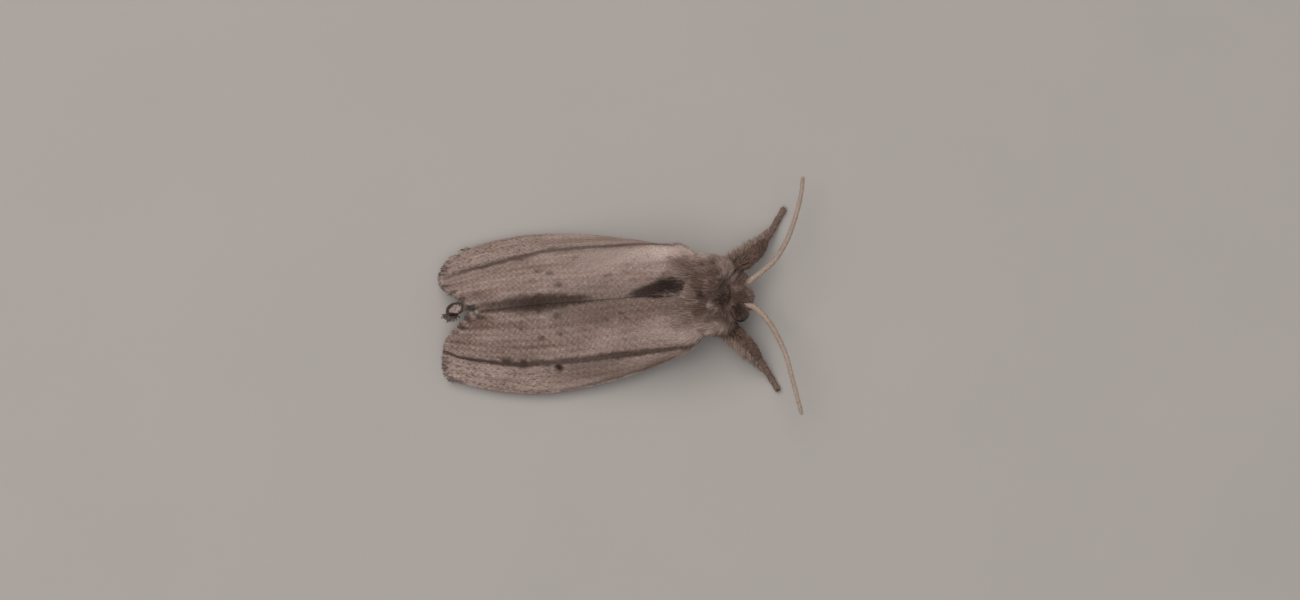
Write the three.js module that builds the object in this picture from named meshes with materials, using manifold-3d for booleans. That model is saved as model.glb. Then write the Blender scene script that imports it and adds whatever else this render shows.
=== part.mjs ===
// A resting moth, life size, in millimetres.
// +X points to the head, +Y to the moth's left side and +Z up; the feet stand on z = 0.
// The body is drawn round the thorax, and the whole group is then moved so that its origin
// lies on the floor, at the middle of its outline seen from above.

import * as THREE from 'three';
import { mergeVertices } from 'three/addons/utils/BufferGeometryUtils.js';
import Module from 'manifold-3d';

const wasm = await Module();
wasm.setup();

// ---------- driving dimensions (mm) ----------

const CLEARANCE = 0.3; // gap between neighbouring pieces
const LEFT = 1;
const RIGHT = -1;

// Body: half sizes, centres and how square each outline is (2 is an ellipse).
const THORAX = { centre: [-0.65, 0, 3.2], half: [2.35, 2.75, 2.4], squareness: 2.8 };
const HEAD = { centre: [2.3, 0, 3.0], half: [1.25, 1.55, 1.4], squareness: 2.3 };
const ABDOMEN = { front: -2.3, length: 12.2, halfWidth: 1.75, halfHeight: 1.5, centreHeight: 1.95 };
const ABDOMEN_BLUNTNESS = 3; // 2 is an ellipse, more is blunter at both ends
const ABDOMEN_TAPER = 0.4; // how much narrower the tail end is than the front
const EYE = { centre: [2.5, 1.18, 3.0], radius: 0.62 };

// Facets round and along the rounded pieces.
const THORAX_FACETS = [20, 14];
const HEAD_FACETS = [18, 12];
const EYE_FACETS = [12, 9];
const ABDOMEN_FACETS = [16, 16];

// Wings and abdomen trail a little to the moth's right of the head's axis.
const TAIL_YAW = THREE.MathUtils.degToRad(3.4);
const WING_PIVOT = new THREE.Vector3(0, 0.1, 0);

// Each wing is folded like a roof: a disc slopes from the ridge to the fold, and a costal strip
// falls from the fold to the front edge. Behind the pivot by `at`, the rows give how far the fold
// and the front edge lie to the side, and how high the ridge, the fold and the front edge are.
const ROOF = [
  { at: -0.6, fold: 3.1, edge: 3.2, ridgeZ: 5.5, foldZ: 4.3, edgeZ: 3.3 },
  { at: 2.2, fold: 3.65, edge: 3.9, ridgeZ: 5.45, foldZ: 4.3, edgeZ: 2.3 },
  { at: 5.0, fold: 3.95, edge: 4.75, ridgeZ: 5.25, foldZ: 3.9, edgeZ: 1.6 },
  { at: 8.5, fold: 4.05, edge: 5.45, ridgeZ: 4.8, foldZ: 3.25, edgeZ: 1.0 },
  { at: 12.0, fold: 3.95, edge: 5.7, ridgeZ: 4.15, foldZ: 2.55, edgeZ: 0.75 },
  { at: 15.5, fold: 3.4, edge: 5.25, ridgeZ: 3.2, foldZ: 1.85, edgeZ: 0.7 },
  { at: 18.8, fold: 2.5, edge: 4.25, ridgeZ: 2.1, foldZ: 1.25, edgeZ: 0.75 },
];
const FOLD_SHARE = 0.62; // share of the wing's breadth that is disc
const FOLD_ROUNDING = 0.14; // share of the breadth over which the fold is rounded
const SEAM_HALF_GAP = CLEARANCE / 2;
const DISC_CROWN = 0.14; // how far the disc bulges above a flat roof
const NORMAL_STEP = 0.01; // small step used to find which way a wing's surface faces
// How far behind the pivot a wing begins and ends, from its inner edge to its front edge.
const BASE_MARGIN = [2.6, 2.0, 1.5, 1.0, 0.6, 0.3, 0.2, 0.3, 0.7, 1.6];
const OUTER_MARGIN = {
  [LEFT]: [16.3, 16.95, 17.35, 18.0, 18.45, 18.7, 18.8, 18.7, 18.35, 17.5],
  [RIGHT]: [16.3, 16.95, 17.45, 18.1, 18.5, 18.65, 18.75, 18.85, 18.8, 18.3],
};
// The left wing is folded a little closer to the body than the right one.
const SPREAD = { [LEFT]: 0.935, [RIGHT]: 1.025 };
const FOREWING = { thickness: 0.5, lengthSteps: 26, breadthSteps: 11 };
const HINDWING = {
  start: 1.6, // behind the pivot
  reach: 0.9, // share of the forewing's length
  innerShare: 0.14,
  outerShare: 0.78,
  thickness: 0.5,
  lengthSteps: 14,
  breadthSteps: 6,
};

// Limbs: centre lines from the body outwards, and radii along them.
const ANTENNA_STEPS = 22;
const ANTENNA_SIDES = 6;
const ANTENNA_RADII = [0.27, 0.27, 0.26, 0.25];
const ANTENNAE = {
  antenna_left: [
    [2.9, 0.8, 3.6], [3.75, 1.5, 3.85], [4.85, 2.45, 4.1], [5.75, 3.95, 4.2],
    [6.35, 5.6, 4.15], [6.73, 7.1, 4.0], [6.9, 8.45, 3.7],
  ],
  antenna_right: [
    [2.9, -0.75, 3.6], [3.85, -1.25, 3.95], [4.8, -2.6, 4.2],
    [5.55, -4.3, 4.25], [6.1, -6.35, 4.1], [6.65, -8.35, 3.7],
  ],
};
const LEG_STEPS = 22;
const LEG_SIDES = 8;
const FOOT_HEIGHT = 0.22; // centre of a foot above the floor; its underside is cut flat at z = 0
const LEGS = {
  foreleg_left: {
    line: [
      [1.5, 1.2, 1.3], [2.1, 2.25, 1.9], [2.95, 2.8, 2.15], [3.85, 3.6, 1.7],
      [4.65, 4.85, 0.8], [5.25, 5.95, FOOT_HEIGHT], [5.77, 6.85, FOOT_HEIGHT],
    ],
    radii: [0.5, 0.62, 0.7, 0.55, 0.36, 0.28, 0.26],
  },
  foreleg_right: {
    line: [
      [1.5, -1.2, 1.3], [2.0, -2.1, 1.9], [2.9, -2.85, 2.15], [3.65, -3.7, 1.75],
      [4.3, -4.7, 0.85], [4.85, -5.6, FOOT_HEIGHT], [5.2, -6.2, FOOT_HEIGHT],
    ],
    radii: [0.5, 0.55, 0.62, 0.5, 0.36, 0.28, 0.26],
  },
  midleg_left: {
    line: [
      [-0.3, 1.1, 0.95], [-1.2, 2.5, 1.45], [-2.1, 3.3, 1.15],
      [-2.9, 3.5, FOOT_HEIGHT], [-4.4, 3.5, FOOT_HEIGHT],
    ],
    radii: [0.5, 0.5, 0.42, 0.3, 0.26],
  },
  midleg_right: {
    line: [
      [-0.3, -1.1, 0.95], [-1.3, -2.5, 1.45], [-2.3, -3.35, 1.15],
      [-3.1, -3.7, FOOT_HEIGHT], [-4.6, -3.9, FOOT_HEIGHT],
    ],
    radii: [0.5, 0.5, 0.42, 0.3, 0.26],
  },
  hindleg_left: {
    line: [
      [-1.7, 1.0, 0.95], [-3.6, 2.45, 1.3], [-5.6, 2.75, 1.0],
      [-7.6, 2.85, FOOT_HEIGHT], [-9.8, 2.6, FOOT_HEIGHT],
    ],
    radii: [0.5, 0.48, 0.42, 0.32, 0.26],
  },
  hindleg_right: {
    line: [
      [-1.7, -1.0, 0.95], [-3.8, -2.75, 1.3], [-5.8, -3.25, 1.0],
      [-7.8, -3.5, FOOT_HEIGHT], [-10.0, -3.5, FOOT_HEIGHT],
    ],
    radii: [0.5, 0.48, 0.42, 0.32, 0.26],
  },
};
const PALP_STEPS = 6;
const PALP_SIDES = 7;
const PALP = { line: [[2.4, 0.42, 1.75], [3.1, 0.46, 1.5], [3.6, 0.46, 1.95]], radii: [0.3, 0.36, 0.26] };
const FLOOR_CUT = 60; // side of the block that trims the feet flat

const MERGE_DISTANCE = 1e-4; // corners closer than this are one corner

// ---------- materials ----------

const MATERIALS = {
  thoraxHair: new THREE.MeshStandardMaterial({ color: 0x6b5650, roughness: 0.95, metalness: 0 }),
  headHair: new THREE.MeshStandardMaterial({ color: 0x4a3a33, roughness: 0.95, metalness: 0 }),
  abdomenHair: new THREE.MeshStandardMaterial({ color: 0x8a7568, roughness: 0.95, metalness: 0 }),
  wingScales: new THREE.MeshStandardMaterial({ color: 0x85726a, roughness: 0.85, metalness: 0 }),
  hindwingScales: new THREE.MeshStandardMaterial({ color: 0xa39488, roughness: 0.85, metalness: 0 }),
  legHair: new THREE.MeshStandardMaterial({ color: 0x5a4a42, roughness: 0.9, metalness: 0 }),
  antenna: new THREE.MeshStandardMaterial({ color: 0x9a8370, roughness: 0.8, metalness: 0 }),
  eye: new THREE.MeshStandardMaterial({ color: 0x15100e, roughness: 0.25, metalness: 0 }),
};

// ---------- solids ----------

/** Six times the volume inside a merged, indexed geometry; negative when its faces point inwards. */
function signedVolume(geometry) {
  const position = geometry.attributes.position;
  const index = geometry.index;
  const corners = [new THREE.Vector3(), new THREE.Vector3(), new THREE.Vector3()];
  let total = 0;
  for (let first = 0; first < index.count; first += 3) {
    corners.forEach((corner, k) => corner.fromBufferAttribute(position, index.getX(first + k)));
    total += corners[0].dot(corners[1].clone().cross(corners[2]));
  }
  return total;
}

/** Joins shared corners, drops faces that have shrunk to a line and turns all faces outwards. */
function closed(geometry) {
  const bare = geometry.clone();
  bare.deleteAttribute('normal');
  bare.deleteAttribute('uv');
  const merged = mergeVertices(bare, MERGE_DISTANCE);
  const flip = signedVolume(merged) < 0;
  const kept = [];
  for (let first = 0; first < merged.index.count; first += 3) {
    const [a, b, c] = [0, 1, 2].map((k) => merged.index.getX(first + k));
    if (a !== b && b !== c && c !== a) {
      kept.push(a, flip ? c : b, flip ? b : c);
    }
  }
  merged.setIndex(kept);
  return merged;
}

/** A manifold solid of a closed geometry. */
function solid(geometry) {
  const mesh = closed(geometry);
  return new wasm.Manifold(
    new wasm.Mesh({
      numProp: 3,
      vertProperties: new Float32Array(mesh.attributes.position.array),
      triVerts: new Uint32Array(mesh.index.array),
    }),
  );
}

/** The geometry of a manifold solid. */
function geometryOf(manifold) {
  const mesh = manifold.getMesh();
  const geometry = new THREE.BufferGeometry();
  geometry.setAttribute('position', new THREE.BufferAttribute(mesh.vertProperties, mesh.numProp));
  geometry.setIndex(new THREE.BufferAttribute(mesh.triVerts, 1));
  return geometry;
}

/** A closed geometry with other solids cut away from it. */
function trimmed(geometry, cutters) {
  return geometryOf(cutters.reduce((rest, cutter) => rest.subtract(cutter), solid(geometry)));
}

/** Moves every corner of a geometry to where `place` puts it. */
function reshape(geometry, place) {
  const position = geometry.attributes.position;
  const corner = new THREE.Vector3();
  for (let i = 0; i < position.count; i += 1) {
    const target = place(corner.fromBufferAttribute(position, i));
    position.setXYZ(i, target.x, target.y, target.z);
  }
  return geometry;
}

/** A smooth value through evenly spaced values; t runs from 0 to 1. */
function through(values, t) {
  const last = values.length - 1;
  const scaled = THREE.MathUtils.clamp(t, 0, 1) * last;
  const cell = Math.min(Math.floor(scaled), last - 1);
  const at = (i) => values[THREE.MathUtils.clamp(i, 0, last)];
  const f = scaled - cell;
  const [a, b, c, d] = [at(cell - 1), at(cell), at(cell + 1), at(cell + 2)];
  return b + 0.5 * f * (c - a + f * (2 * a - 5 * b + 4 * c - d + f * (3 * (b - c) + d - a)));
}

/** A rounded body, as a sphere whose outlines are squared by `squareness`, grown by `extra`. */
function roundedBody({ centre, half, squareness }, facets, extra = 0) {
  const power = 2 / squareness;
  const squared = (value) => Math.sign(value) * Math.abs(value) ** power;
  return reshape(new THREE.SphereGeometry(1, ...facets).rotateZ(-Math.PI / 2), (corner) => {
    const across = Math.hypot(corner.y, corner.z);
    const share = across > 0 ? squared(across) / across : 0;
    return new THREE.Vector3(
      centre[0] + (half[0] + extra) * squared(corner.x),
      centre[1] + (half[1] + extra) * corner.y * share,
      centre[2] + (half[2] + extra) * corner.z * share,
    );
  });
}

/** A round limb along a smooth line, with its radius running through `radii`. */
function limb(line, radii, steps, sides) {
  const curve = new THREE.CatmullRomCurve3(line.map((point) => new THREE.Vector3(...point)));
  const frames = curve.computeFrenetFrames(steps, false);
  return reshape(new THREE.CylinderGeometry(1, 1, 1, sides, steps), (corner) => {
    const t = corner.y + 0.5;
    const station = Math.round(t * steps);
    const radius = through(radii, t);
    return curve
      .getPointAt(t)
      .addScaledVector(frames.normals[station], corner.x * radius)
      .addScaledVector(frames.binormals[station], corner.z * radius);
  });
}

// ---------- wings ----------

/** One measure of the roof at a distance behind the pivot, smooth between the rows. */
function roofMeasure(name, distance) {
  const next = ROOF.findIndex((row) => row.at >= distance);
  const upper = THREE.MathUtils.clamp(next < 0 ? ROOF.length - 1 : next, 1, ROOF.length - 1);
  const row = (i) => ROOF[THREE.MathUtils.clamp(i, 0, ROOF.length - 1)];
  const [a, b, c, d] = [row(upper - 2), row(upper - 1), row(upper), row(upper + 1)];
  const span = c.at - b.at;
  const f = THREE.MathUtils.clamp((distance - b.at) / span, 0, 1);
  const slopeB = ((c[name] - a[name]) / (c.at - a.at)) * span;
  const slopeC = ((d[name] - b[name]) / (d.at - b.at)) * span;
  const [f2, f3] = [f * f, f * f * f];
  return b[name] * (2 * f3 - 3 * f2 + 1) + slopeB * (f3 - 2 * f2 + f)
    + c[name] * (3 * f2 - 2 * f3) + slopeC * (f3 - f2);
}

/** Middle surface of a folded wing: `distance` behind the pivot, `share` of the breadth out. */
function roofPoint(distance, share, side) {
  const measure = (name) => roofMeasure(name, distance);
  const ridge = new THREE.Vector3(0, 0, measure('ridgeZ'));
  const fold = new THREE.Vector3(0, measure('fold'), measure('foldZ'));
  const edge = new THREE.Vector3(0, measure('edge'), measure('edgeZ'));
  const onDisc = (v) => ridge.clone().lerp(fold, v / FOLD_SHARE);
  const onStrip = (v) => fold.clone().lerp(edge, (v - FOLD_SHARE) / (1 - FOLD_SHARE));
  const start = FOLD_SHARE - FOLD_ROUNDING;
  const end = FOLD_SHARE + FOLD_ROUNDING;
  let point = share < FOLD_SHARE ? onDisc(share) : onStrip(share);
  if (share > start && share < end) {
    const f = (share - start) / (end - start);
    point = onDisc(start).lerp(fold, f).lerp(fold.clone().lerp(onStrip(end), f), f);
  }
  point.z += DISC_CROWN * Math.sin(Math.PI * Math.min(share / FOLD_SHARE, 1));
  return new THREE.Vector3(-distance, point.y * side * SPREAD[side], point.z);
}

/** A point at a height over the wing's middle surface, along the surface's own upward normal. */
function wingPoint(distance, share, side, height) {
  const before = roofPoint(distance - NORMAL_STEP, share, side);
  const along = roofPoint(distance + NORMAL_STEP, share, side).sub(before);
  const low = Math.max(share - NORMAL_STEP, 0);
  const high = Math.min(share + NORMAL_STEP, 1);
  const across = roofPoint(distance, high, side).sub(roofPoint(distance, low, side));
  const normal = along.cross(across).multiplyScalar(-side).normalize();
  const point = roofPoint(distance, share, side).addScaledVector(normal, height);
  point.y = side * Math.max(point.y * side, SEAM_HALF_GAP);
  return point;
}

/** Turns a shape of the tail end about the wing pivot, to trail to the moth's right. */
function trail(geometry) {
  return geometry
    .translate(-WING_PIVOT.x, 0, 0)
    .rotateZ(TAIL_YAW)
    .translate(WING_PIVOT.x, WING_PIVOT.y, 0);
}

/** A forewing: the whole roof on one side, out to its outer margin. */
function forewing(side) {
  const { thickness, lengthSteps, breadthSteps } = FOREWING;
  const sheet = new THREE.BoxGeometry(1, 1, 1, lengthSteps, breadthSteps, 1);
  return trail(reshape(sheet, (corner) => {
    const share = corner.y + 0.5;
    const [start, end] = [through(BASE_MARGIN, share), through(OUTER_MARGIN[side], share)];
    const distance = THREE.MathUtils.lerp(start, end, corner.x + 0.5);
    return wingPoint(distance, share, side, corner.z * thickness);
  }));
}

/** A hindwing: folded flat under the forewing, a little shorter and narrower. */
function hindwing(side) {
  const { start, reach, innerShare, outerShare, thickness, lengthSteps, breadthSteps } = HINDWING;
  const depth = FOREWING.thickness / 2 + CLEARANCE + thickness / 2;
  const sheet = new THREE.BoxGeometry(1, 1, 1, lengthSteps, breadthSteps, 1);
  return trail(reshape(sheet, (corner) => {
    const share = THREE.MathUtils.lerp(innerShare, outerShare, corner.y + 0.5);
    const end = through(OUTER_MARGIN[side], share) * reach;
    const distance = THREE.MathUtils.lerp(start, end, corner.x + 0.5);
    return wingPoint(distance, share, side, corner.z * thickness - depth);
  }));
}

// ---------- body ----------

/** The abdomen: a long drop, blunt in front and narrowing to the tail. */
function abdomen() {
  const { front, length, halfWidth, halfHeight, centreHeight } = ABDOMEN;
  const drop = new THREE.CylinderGeometry(1, 1, 2, ...ABDOMEN_FACETS).rotateZ(Math.PI / 2);
  return trail(reshape(drop, (corner) => {
    const along = -Math.sin((corner.x * Math.PI) / 2);
    const share = (1 + along) / 2;
    const taper = 1 - ABDOMEN_TAPER * share ** 2;
    const girth = (1 - Math.abs(along) ** ABDOMEN_BLUNTNESS) ** (1 / ABDOMEN_BLUNTNESS) * taper;
    return new THREE.Vector3(
      front - length * share,
      corner.y * halfWidth * girth,
      centreHeight * taper + corner.z * halfHeight * girth,
    );
  }));
}

/** The same limb on the other side of the body. */
function mirrored(line) {
  return line.map(([x, y, z]) => [x, -y, z]);
}

// ---------- assembly ----------

const moth = new THREE.Group();

/** Adds a named piece with its material. */
function add(name, geometry, material) {
  const mesh = new THREE.Mesh(geometry, material);
  mesh.name = name;
  moth.add(mesh);
}

const thoraxClearance = solid(roundedBody(THORAX, THORAX_FACETS, CLEARANCE));
const headClearance = solid(roundedBody(HEAD, HEAD_FACETS, CLEARANCE));
const floorBlock = new THREE.BoxGeometry(FLOOR_CUT, FLOOR_CUT, FLOOR_CUT);
const belowFloor = solid(floorBlock.translate(0, 0, -FLOOR_CUT / 2));

/** The eyeball on one side, grown by `extra`. */
function eyeball(side, extra = 0) {
  const [x, y, z] = EYE.centre;
  return new THREE.SphereGeometry(EYE.radius + extra, ...EYE_FACETS).translate(x, side * y, z);
}

const eyeClearances = [LEFT, RIGHT].map((side) => solid(eyeball(side, CLEARANCE)));

const wholeHead = roundedBody(HEAD, HEAD_FACETS);
add('thorax', closed(roundedBody(THORAX, THORAX_FACETS)), MATERIALS.thoraxHair);
add('head', trimmed(wholeHead, [thoraxClearance, ...eyeClearances]), MATERIALS.headHair);
add('abdomen', trimmed(abdomen(), [thoraxClearance]), MATERIALS.abdomenHair);

for (const [name, side] of [['left', LEFT], ['right', RIGHT]]) {
  add(`forewing_${name}`, trimmed(forewing(side), [thoraxClearance]), MATERIALS.wingScales);
  add(`hindwing_${name}`, trimmed(hindwing(side), [thoraxClearance]), MATERIALS.hindwingScales);
  add(`eye_${name}`, trimmed(eyeball(side), [thoraxClearance]), MATERIALS.eye);
  const palpLine = side === LEFT ? PALP.line : mirrored(PALP.line);
  const palp = limb(palpLine, PALP.radii, PALP_STEPS, PALP_SIDES);
  add(`palp_${name}`, trimmed(palp, [thoraxClearance, headClearance]), MATERIALS.headHair);
}

for (const [name, line] of Object.entries(ANTENNAE)) {
  const feeler = limb(line, ANTENNA_RADII, ANTENNA_STEPS, ANTENNA_SIDES);
  add(name, trimmed(feeler, [headClearance]), MATERIALS.antenna);
}

for (const [name, { line, radii }] of Object.entries(LEGS)) {
  const leg = limb(line, radii, LEG_STEPS, LEG_SIDES);
  add(name, trimmed(leg, [thoraxClearance, headClearance, belowFloor]), MATERIALS.legHair);
}

const outline = new THREE.Box3().setFromObject(moth);
const middle = outline.getCenter(new THREE.Vector3());
moth.position.set(-middle.x, -middle.y, -outline.min.z);

export default moth;
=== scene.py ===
"""The finished look of a resting moth: skin, wings, scales, hair, eyes, limbs and a plain studio.

Shapes are drawn in millimetres in the drawing frame of the solids: +X to the head, +Y to the moth's
left, z = 0 on the floor and the origin under the middle of the thorax. Piece.carry and Tufts.grow
bring them to the shared frame, in metres. A place on a wing is a distance behind the wings' pivot,
in millimetres, and a share of the wing's breadth, 0 at the seam and 1 at the front edge.
"""

import logging
import math
from dataclasses import dataclass, field, fields
from enum import Enum
from functools import cached_property

import bpy
import numpy as np
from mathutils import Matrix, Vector


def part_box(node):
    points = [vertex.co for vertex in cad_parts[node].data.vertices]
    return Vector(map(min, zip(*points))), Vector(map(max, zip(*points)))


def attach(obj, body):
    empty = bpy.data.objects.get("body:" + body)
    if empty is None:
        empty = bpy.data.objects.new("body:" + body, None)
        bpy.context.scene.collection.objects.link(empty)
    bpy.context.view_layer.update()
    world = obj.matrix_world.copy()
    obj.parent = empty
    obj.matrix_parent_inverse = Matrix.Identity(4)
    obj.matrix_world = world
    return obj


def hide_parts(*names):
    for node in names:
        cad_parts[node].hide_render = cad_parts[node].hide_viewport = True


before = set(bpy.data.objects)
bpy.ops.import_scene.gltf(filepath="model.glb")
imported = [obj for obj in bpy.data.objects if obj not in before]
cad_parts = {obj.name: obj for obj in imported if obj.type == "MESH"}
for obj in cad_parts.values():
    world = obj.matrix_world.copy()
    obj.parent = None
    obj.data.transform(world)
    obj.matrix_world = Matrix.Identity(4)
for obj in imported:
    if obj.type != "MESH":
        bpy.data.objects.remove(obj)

Array = np.ndarray
Point = tuple[float, float, float]
Bend = tuple[float, float, float, float]
Mesh = bpy.types.Object
Socket = bpy.types.NodeSocket

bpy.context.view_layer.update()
LOG = logging.getLogger("moth")
BODY = "root"
MM = 0.001
MARKS = "marks"  # colour attribute: how dark, pale and brown a place is, and a random number
ALONG = "along"  # number attribute: 0 at a tuft's root, 1 at its tip; the coat finishes use it for painted shade at the root
BAKE_MAP = "OFBake"
PATCH = 0.003  # side of a tuft's patch on the unwrap
FLOOR_GAP = 0.012  # millimetres; nothing lies lower
THORAX_CENTRE = (-0.65, 0.0, 3.2)  # of the solid, in the drawing
LOW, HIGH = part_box("thorax")
SHIFT = np.array((LOW + HIGH) / 2 / MM - Vector(THORAX_CENTRE))  # millimetres to the shared frame


class Side(Enum):
    """Which side of the moth a piece is on; the value is the sign of its Y."""

    LEFT = 1
    RIGHT = -1

    @property
    def word(self) -> str:
        """The side's name as the nodes spell it."""
        return self.name.lower()


# ---------- small helpers ----------


def placed(points: Array) -> Array:
    """Carries points from the drawing, in millimetres, to the shared frame, in metres."""
    return (np.asarray(points, float) + SHIFT) * MM


def rows(*columns: Array | float) -> Array:
    """Puts columns side by side; a number fills its column."""
    return np.stack(np.broadcast_arrays(*columns), -1)


def unit(vectors: Array) -> Array:
    """Scales rows to length 1."""
    return vectors / np.maximum(np.linalg.norm(vectors, axis=-1, keepdims=True), 1e-12)


def step(values: Array, low: Array | float, high: Array | float) -> Array:
    """A smooth step from 0 at low to 1 at high, which may be less than low."""
    f = np.clip((values - low) / (high - low), 0, 1)
    return f * f * (3 - 2 * f)


def smooth_through(values: Array, shares: Array) -> Array:
    """Runs a smooth curve through evenly spaced values.

    Args:
        values: the values, a number or a row each.
        shares: where along the curve to read it, 0 to 1.

    Returns:
        The curve's value at each share.
    """
    values = np.asarray(values, float)
    last = len(values) - 1
    scaled = np.clip(np.asarray(shares, float), 0, 1) * last
    cell = np.minimum(scaled.astype(int), last - 1)
    f = scaled - cell
    if values.ndim > 1:
        f = f[..., None]
    a, b, c, d = (values[np.clip(cell + k, 0, last)] for k in (-1, 0, 1, 2))
    return b + 0.5 * f * (c - a + f * (2 * a - 5 * b + 4 * c - d + f * (3 * (b - c) + d - a)))


def ripple(points: Array, size: float, seed: int) -> Array:
    """A smooth random field.

    Args:
        points: rows of coordinates in millimetres.
        size: the usual size of its humps in millimetres.
        seed: which field.

    Returns:
        Numbers of about -1 to 1, one per row.
    """
    rng = np.random.default_rng(seed)
    total = np.zeros(len(points))
    for _ in range(7):
        wave = unit(rng.normal(size=points.shape[1])) * rng.uniform(0.6, 1.7) * math.pi / size
        total += np.sin(points @ wave + rng.uniform(0, 6.3))
    return total / 2.6


def chances(seed: int, count: int) -> Array:
    """Random numbers from 0 to 1."""
    return np.random.default_rng(seed).uniform(size=count)


def deselect() -> None:
    """Leaves nothing selected."""
    bpy.ops.object.select_all(action="DESELECT")


def corners_of(obj: Mesh) -> Array:
    """Reads a mesh's corners.

    Args:
        obj: a mesh object.

    Returns:
        Rows of x, y, z.
    """
    found = np.empty(len(obj.data.vertices) * 3)
    obj.data.vertices.foreach_get("co", found)
    return found.reshape(-1, 3)


def move_corners(obj: Mesh, points: Array) -> None:
    """Moves a mesh's corners to new points."""
    obj.data.vertices.foreach_set("co", np.ascontiguousarray(points, float).ravel())
    obj.data.update()


def apply_modifier(obj: Mesh, kind: str, **settings: object) -> None:
    """Adds a modifier to the active object and applies it.

    Args:
        obj: the active mesh object.
        kind: the modifier's type.
        settings: its settings.
    """
    bpy.ops.object.modifier_add(type=kind)
    made = obj.modifiers[-1]
    for name, value in settings.items():
        setattr(made, name, value)
    bpy.ops.object.modifier_apply(modifier=made.name)


def swept(line: Array, radii: Array, sides: int = 3) -> Mesh:
    """Draws a curve through stations, rounds it with a bevel and turns it into a mesh.

    Args:
        line: the stations, rows of x, y, z in millimetres.
        radii: the radius at each station in millimetres.
        sides: the bevel's resolution.

    Returns:
        A closed mesh object, in millimetres.
    """
    deselect()
    bpy.ops.curve.primitive_nurbs_path_add(location=(0, 0, 0))
    path = bpy.context.object
    path.data.splines.clear()
    spline = path.data.splines.new("POLY")
    spline.points.add(len(line) - 1)
    spline.points.foreach_set("co", np.c_[line, np.ones(len(line))].ravel())
    spline.points.foreach_set("radius", np.asarray(radii, float))
    path.data.bevel_depth = 1.0
    path.data.bevel_resolution = sides
    path.data.use_fill_caps = True
    bpy.ops.object.convert(target="MESH")
    return bpy.context.object


def joined(parts: list[Mesh]) -> Mesh:
    """Joins mesh objects into the first one.

    Args:
        parts: the objects.

    Returns:
        The joined object.
    """
    deselect()
    for part in parts:
        part.select_set(True)
    bpy.context.view_layer.objects.active = parts[0]
    bpy.ops.object.join()
    return bpy.context.object


# ---------- finishes ----------


class Shader:
    """A Principled material whose colour is built from nodes."""

    def __init__(self, name: str, roughness: float, specular: float) -> None:
        """Makes the material.

        Args:
            name: its name.
            roughness: its roughness.
            specular: how strongly it mirrors.
        """
        self.material = bpy.data.materials.new(name)
        self.material.use_nodes = True
        self.tree = self.material.node_tree
        self.surface = self.tree.nodes["Principled BSDF"].inputs
        self.surface["Roughness"].default_value = roughness
        self.surface["Specular IOR Level"].default_value = specular

    def feed(self, socket: Socket, value: object) -> None:
        """Links a socket to another, or sets its value.

        Args:
            socket: the input.
            value: an output socket, a number, a vector or a colour.
        """
        if isinstance(value, Socket):
            self.tree.links.new(value, socket)
        elif socket.type == "RGBA":
            socket.default_value = (*value, 1.0)
        else:
            socket.default_value = value

    def node(self, kind: str, settings: dict[str, object] | None = None, **inputs: object) -> bpy.types.Node:
        """Adds a node.

        Args:
            kind: the node's type, without its ShaderNode prefix.
            settings: its settings.
            inputs: values or sockets for its inputs, spaces written as underscores.

        Returns:
            The node.
        """
        made = self.tree.nodes.new("ShaderNode" + kind)
        for name, value in (settings or {}).items():
            setattr(made, name, value)
        for name, value in inputs.items():
            self.feed(made.inputs[name.replace("_", " ")], value)
        return made

    def mix(self, factor: object, first: object, second: object) -> Socket:
        """Mixes two colours.

        Args:
            factor: a socket or a number.
            first: the colour at 0.
            second: the colour at 1.

        Returns:
            The mixed colour.
        """
        made = self.node("Mix", {"data_type": "RGBA"})
        for place, value in ((0, factor), (6, first), (7, second)):
            self.feed(made.inputs[place], value)
        return made.outputs[2]

    def span(self, value: Socket, low: float, high: float, start: float, end: float) -> Socket:
        """Maps numbers from low to high onto start to end."""
        made = self.node("MapRange", Value=value, From_Min=low, From_Max=high, To_Min=start, To_Max=end)
        return made.outputs["Result"]

    def scaled(self, colour: Socket, factor: Socket) -> Socket:
        """Makes a colour brighter or darker by a factor."""
        return self.node("VectorMath", {"operation": "SCALE"}, Vector=colour, Scale=factor).outputs["Vector"]

    def noise(self, size: float, stretch: float = 1.0, detail: float = 3.0) -> Socket:
        """A noise in the piece's own space.

        Args:
            size: the size of its humps in millimetres.
            stretch: how much denser it is along X.
            detail: how many finer layers it has.

        Returns:
            Numbers about 0.5.
        """
        place = self.node("TexCoord").outputs["Object"]
        place = self.node("Mapping", Vector=place, Scale=(stretch, 1.0, 1.0)).outputs["Vector"]
        return self.node("TexNoise", Vector=place, Scale=1 / (size * MM), Detail=detail).outputs["Fac"]

    def bump(self, height: Socket, distance: float, strength: float) -> None:
        """Gives the surface a fine relief, as high as a distance in millimetres."""
        made = self.node("Bump", Height=height, Distance=distance * MM, Strength=strength)
        self.feed(self.surface["Normal"], made.outputs["Normal"])


@dataclass(frozen=True, kw_only=True)
class Finish:
    """What all finishes share: a name and one material, made when it is first used."""

    name: str
    roughness: float = 0.5
    specular: float = 0.5

    def colour(self, shader: Shader) -> Socket:
        """Builds the colour and the relief; each finish does it in its own way."""
        raise NotImplementedError

    @cached_property
    def material(self) -> bpy.types.Material:
        """The finish's material.

        Returns:
            The material, the same one each time.
        """
        shader = Shader(self.name, self.roughness, self.specular)
        shader.feed(shader.surface["Base Color"], self.colour(shader))
        return shader.material


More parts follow.
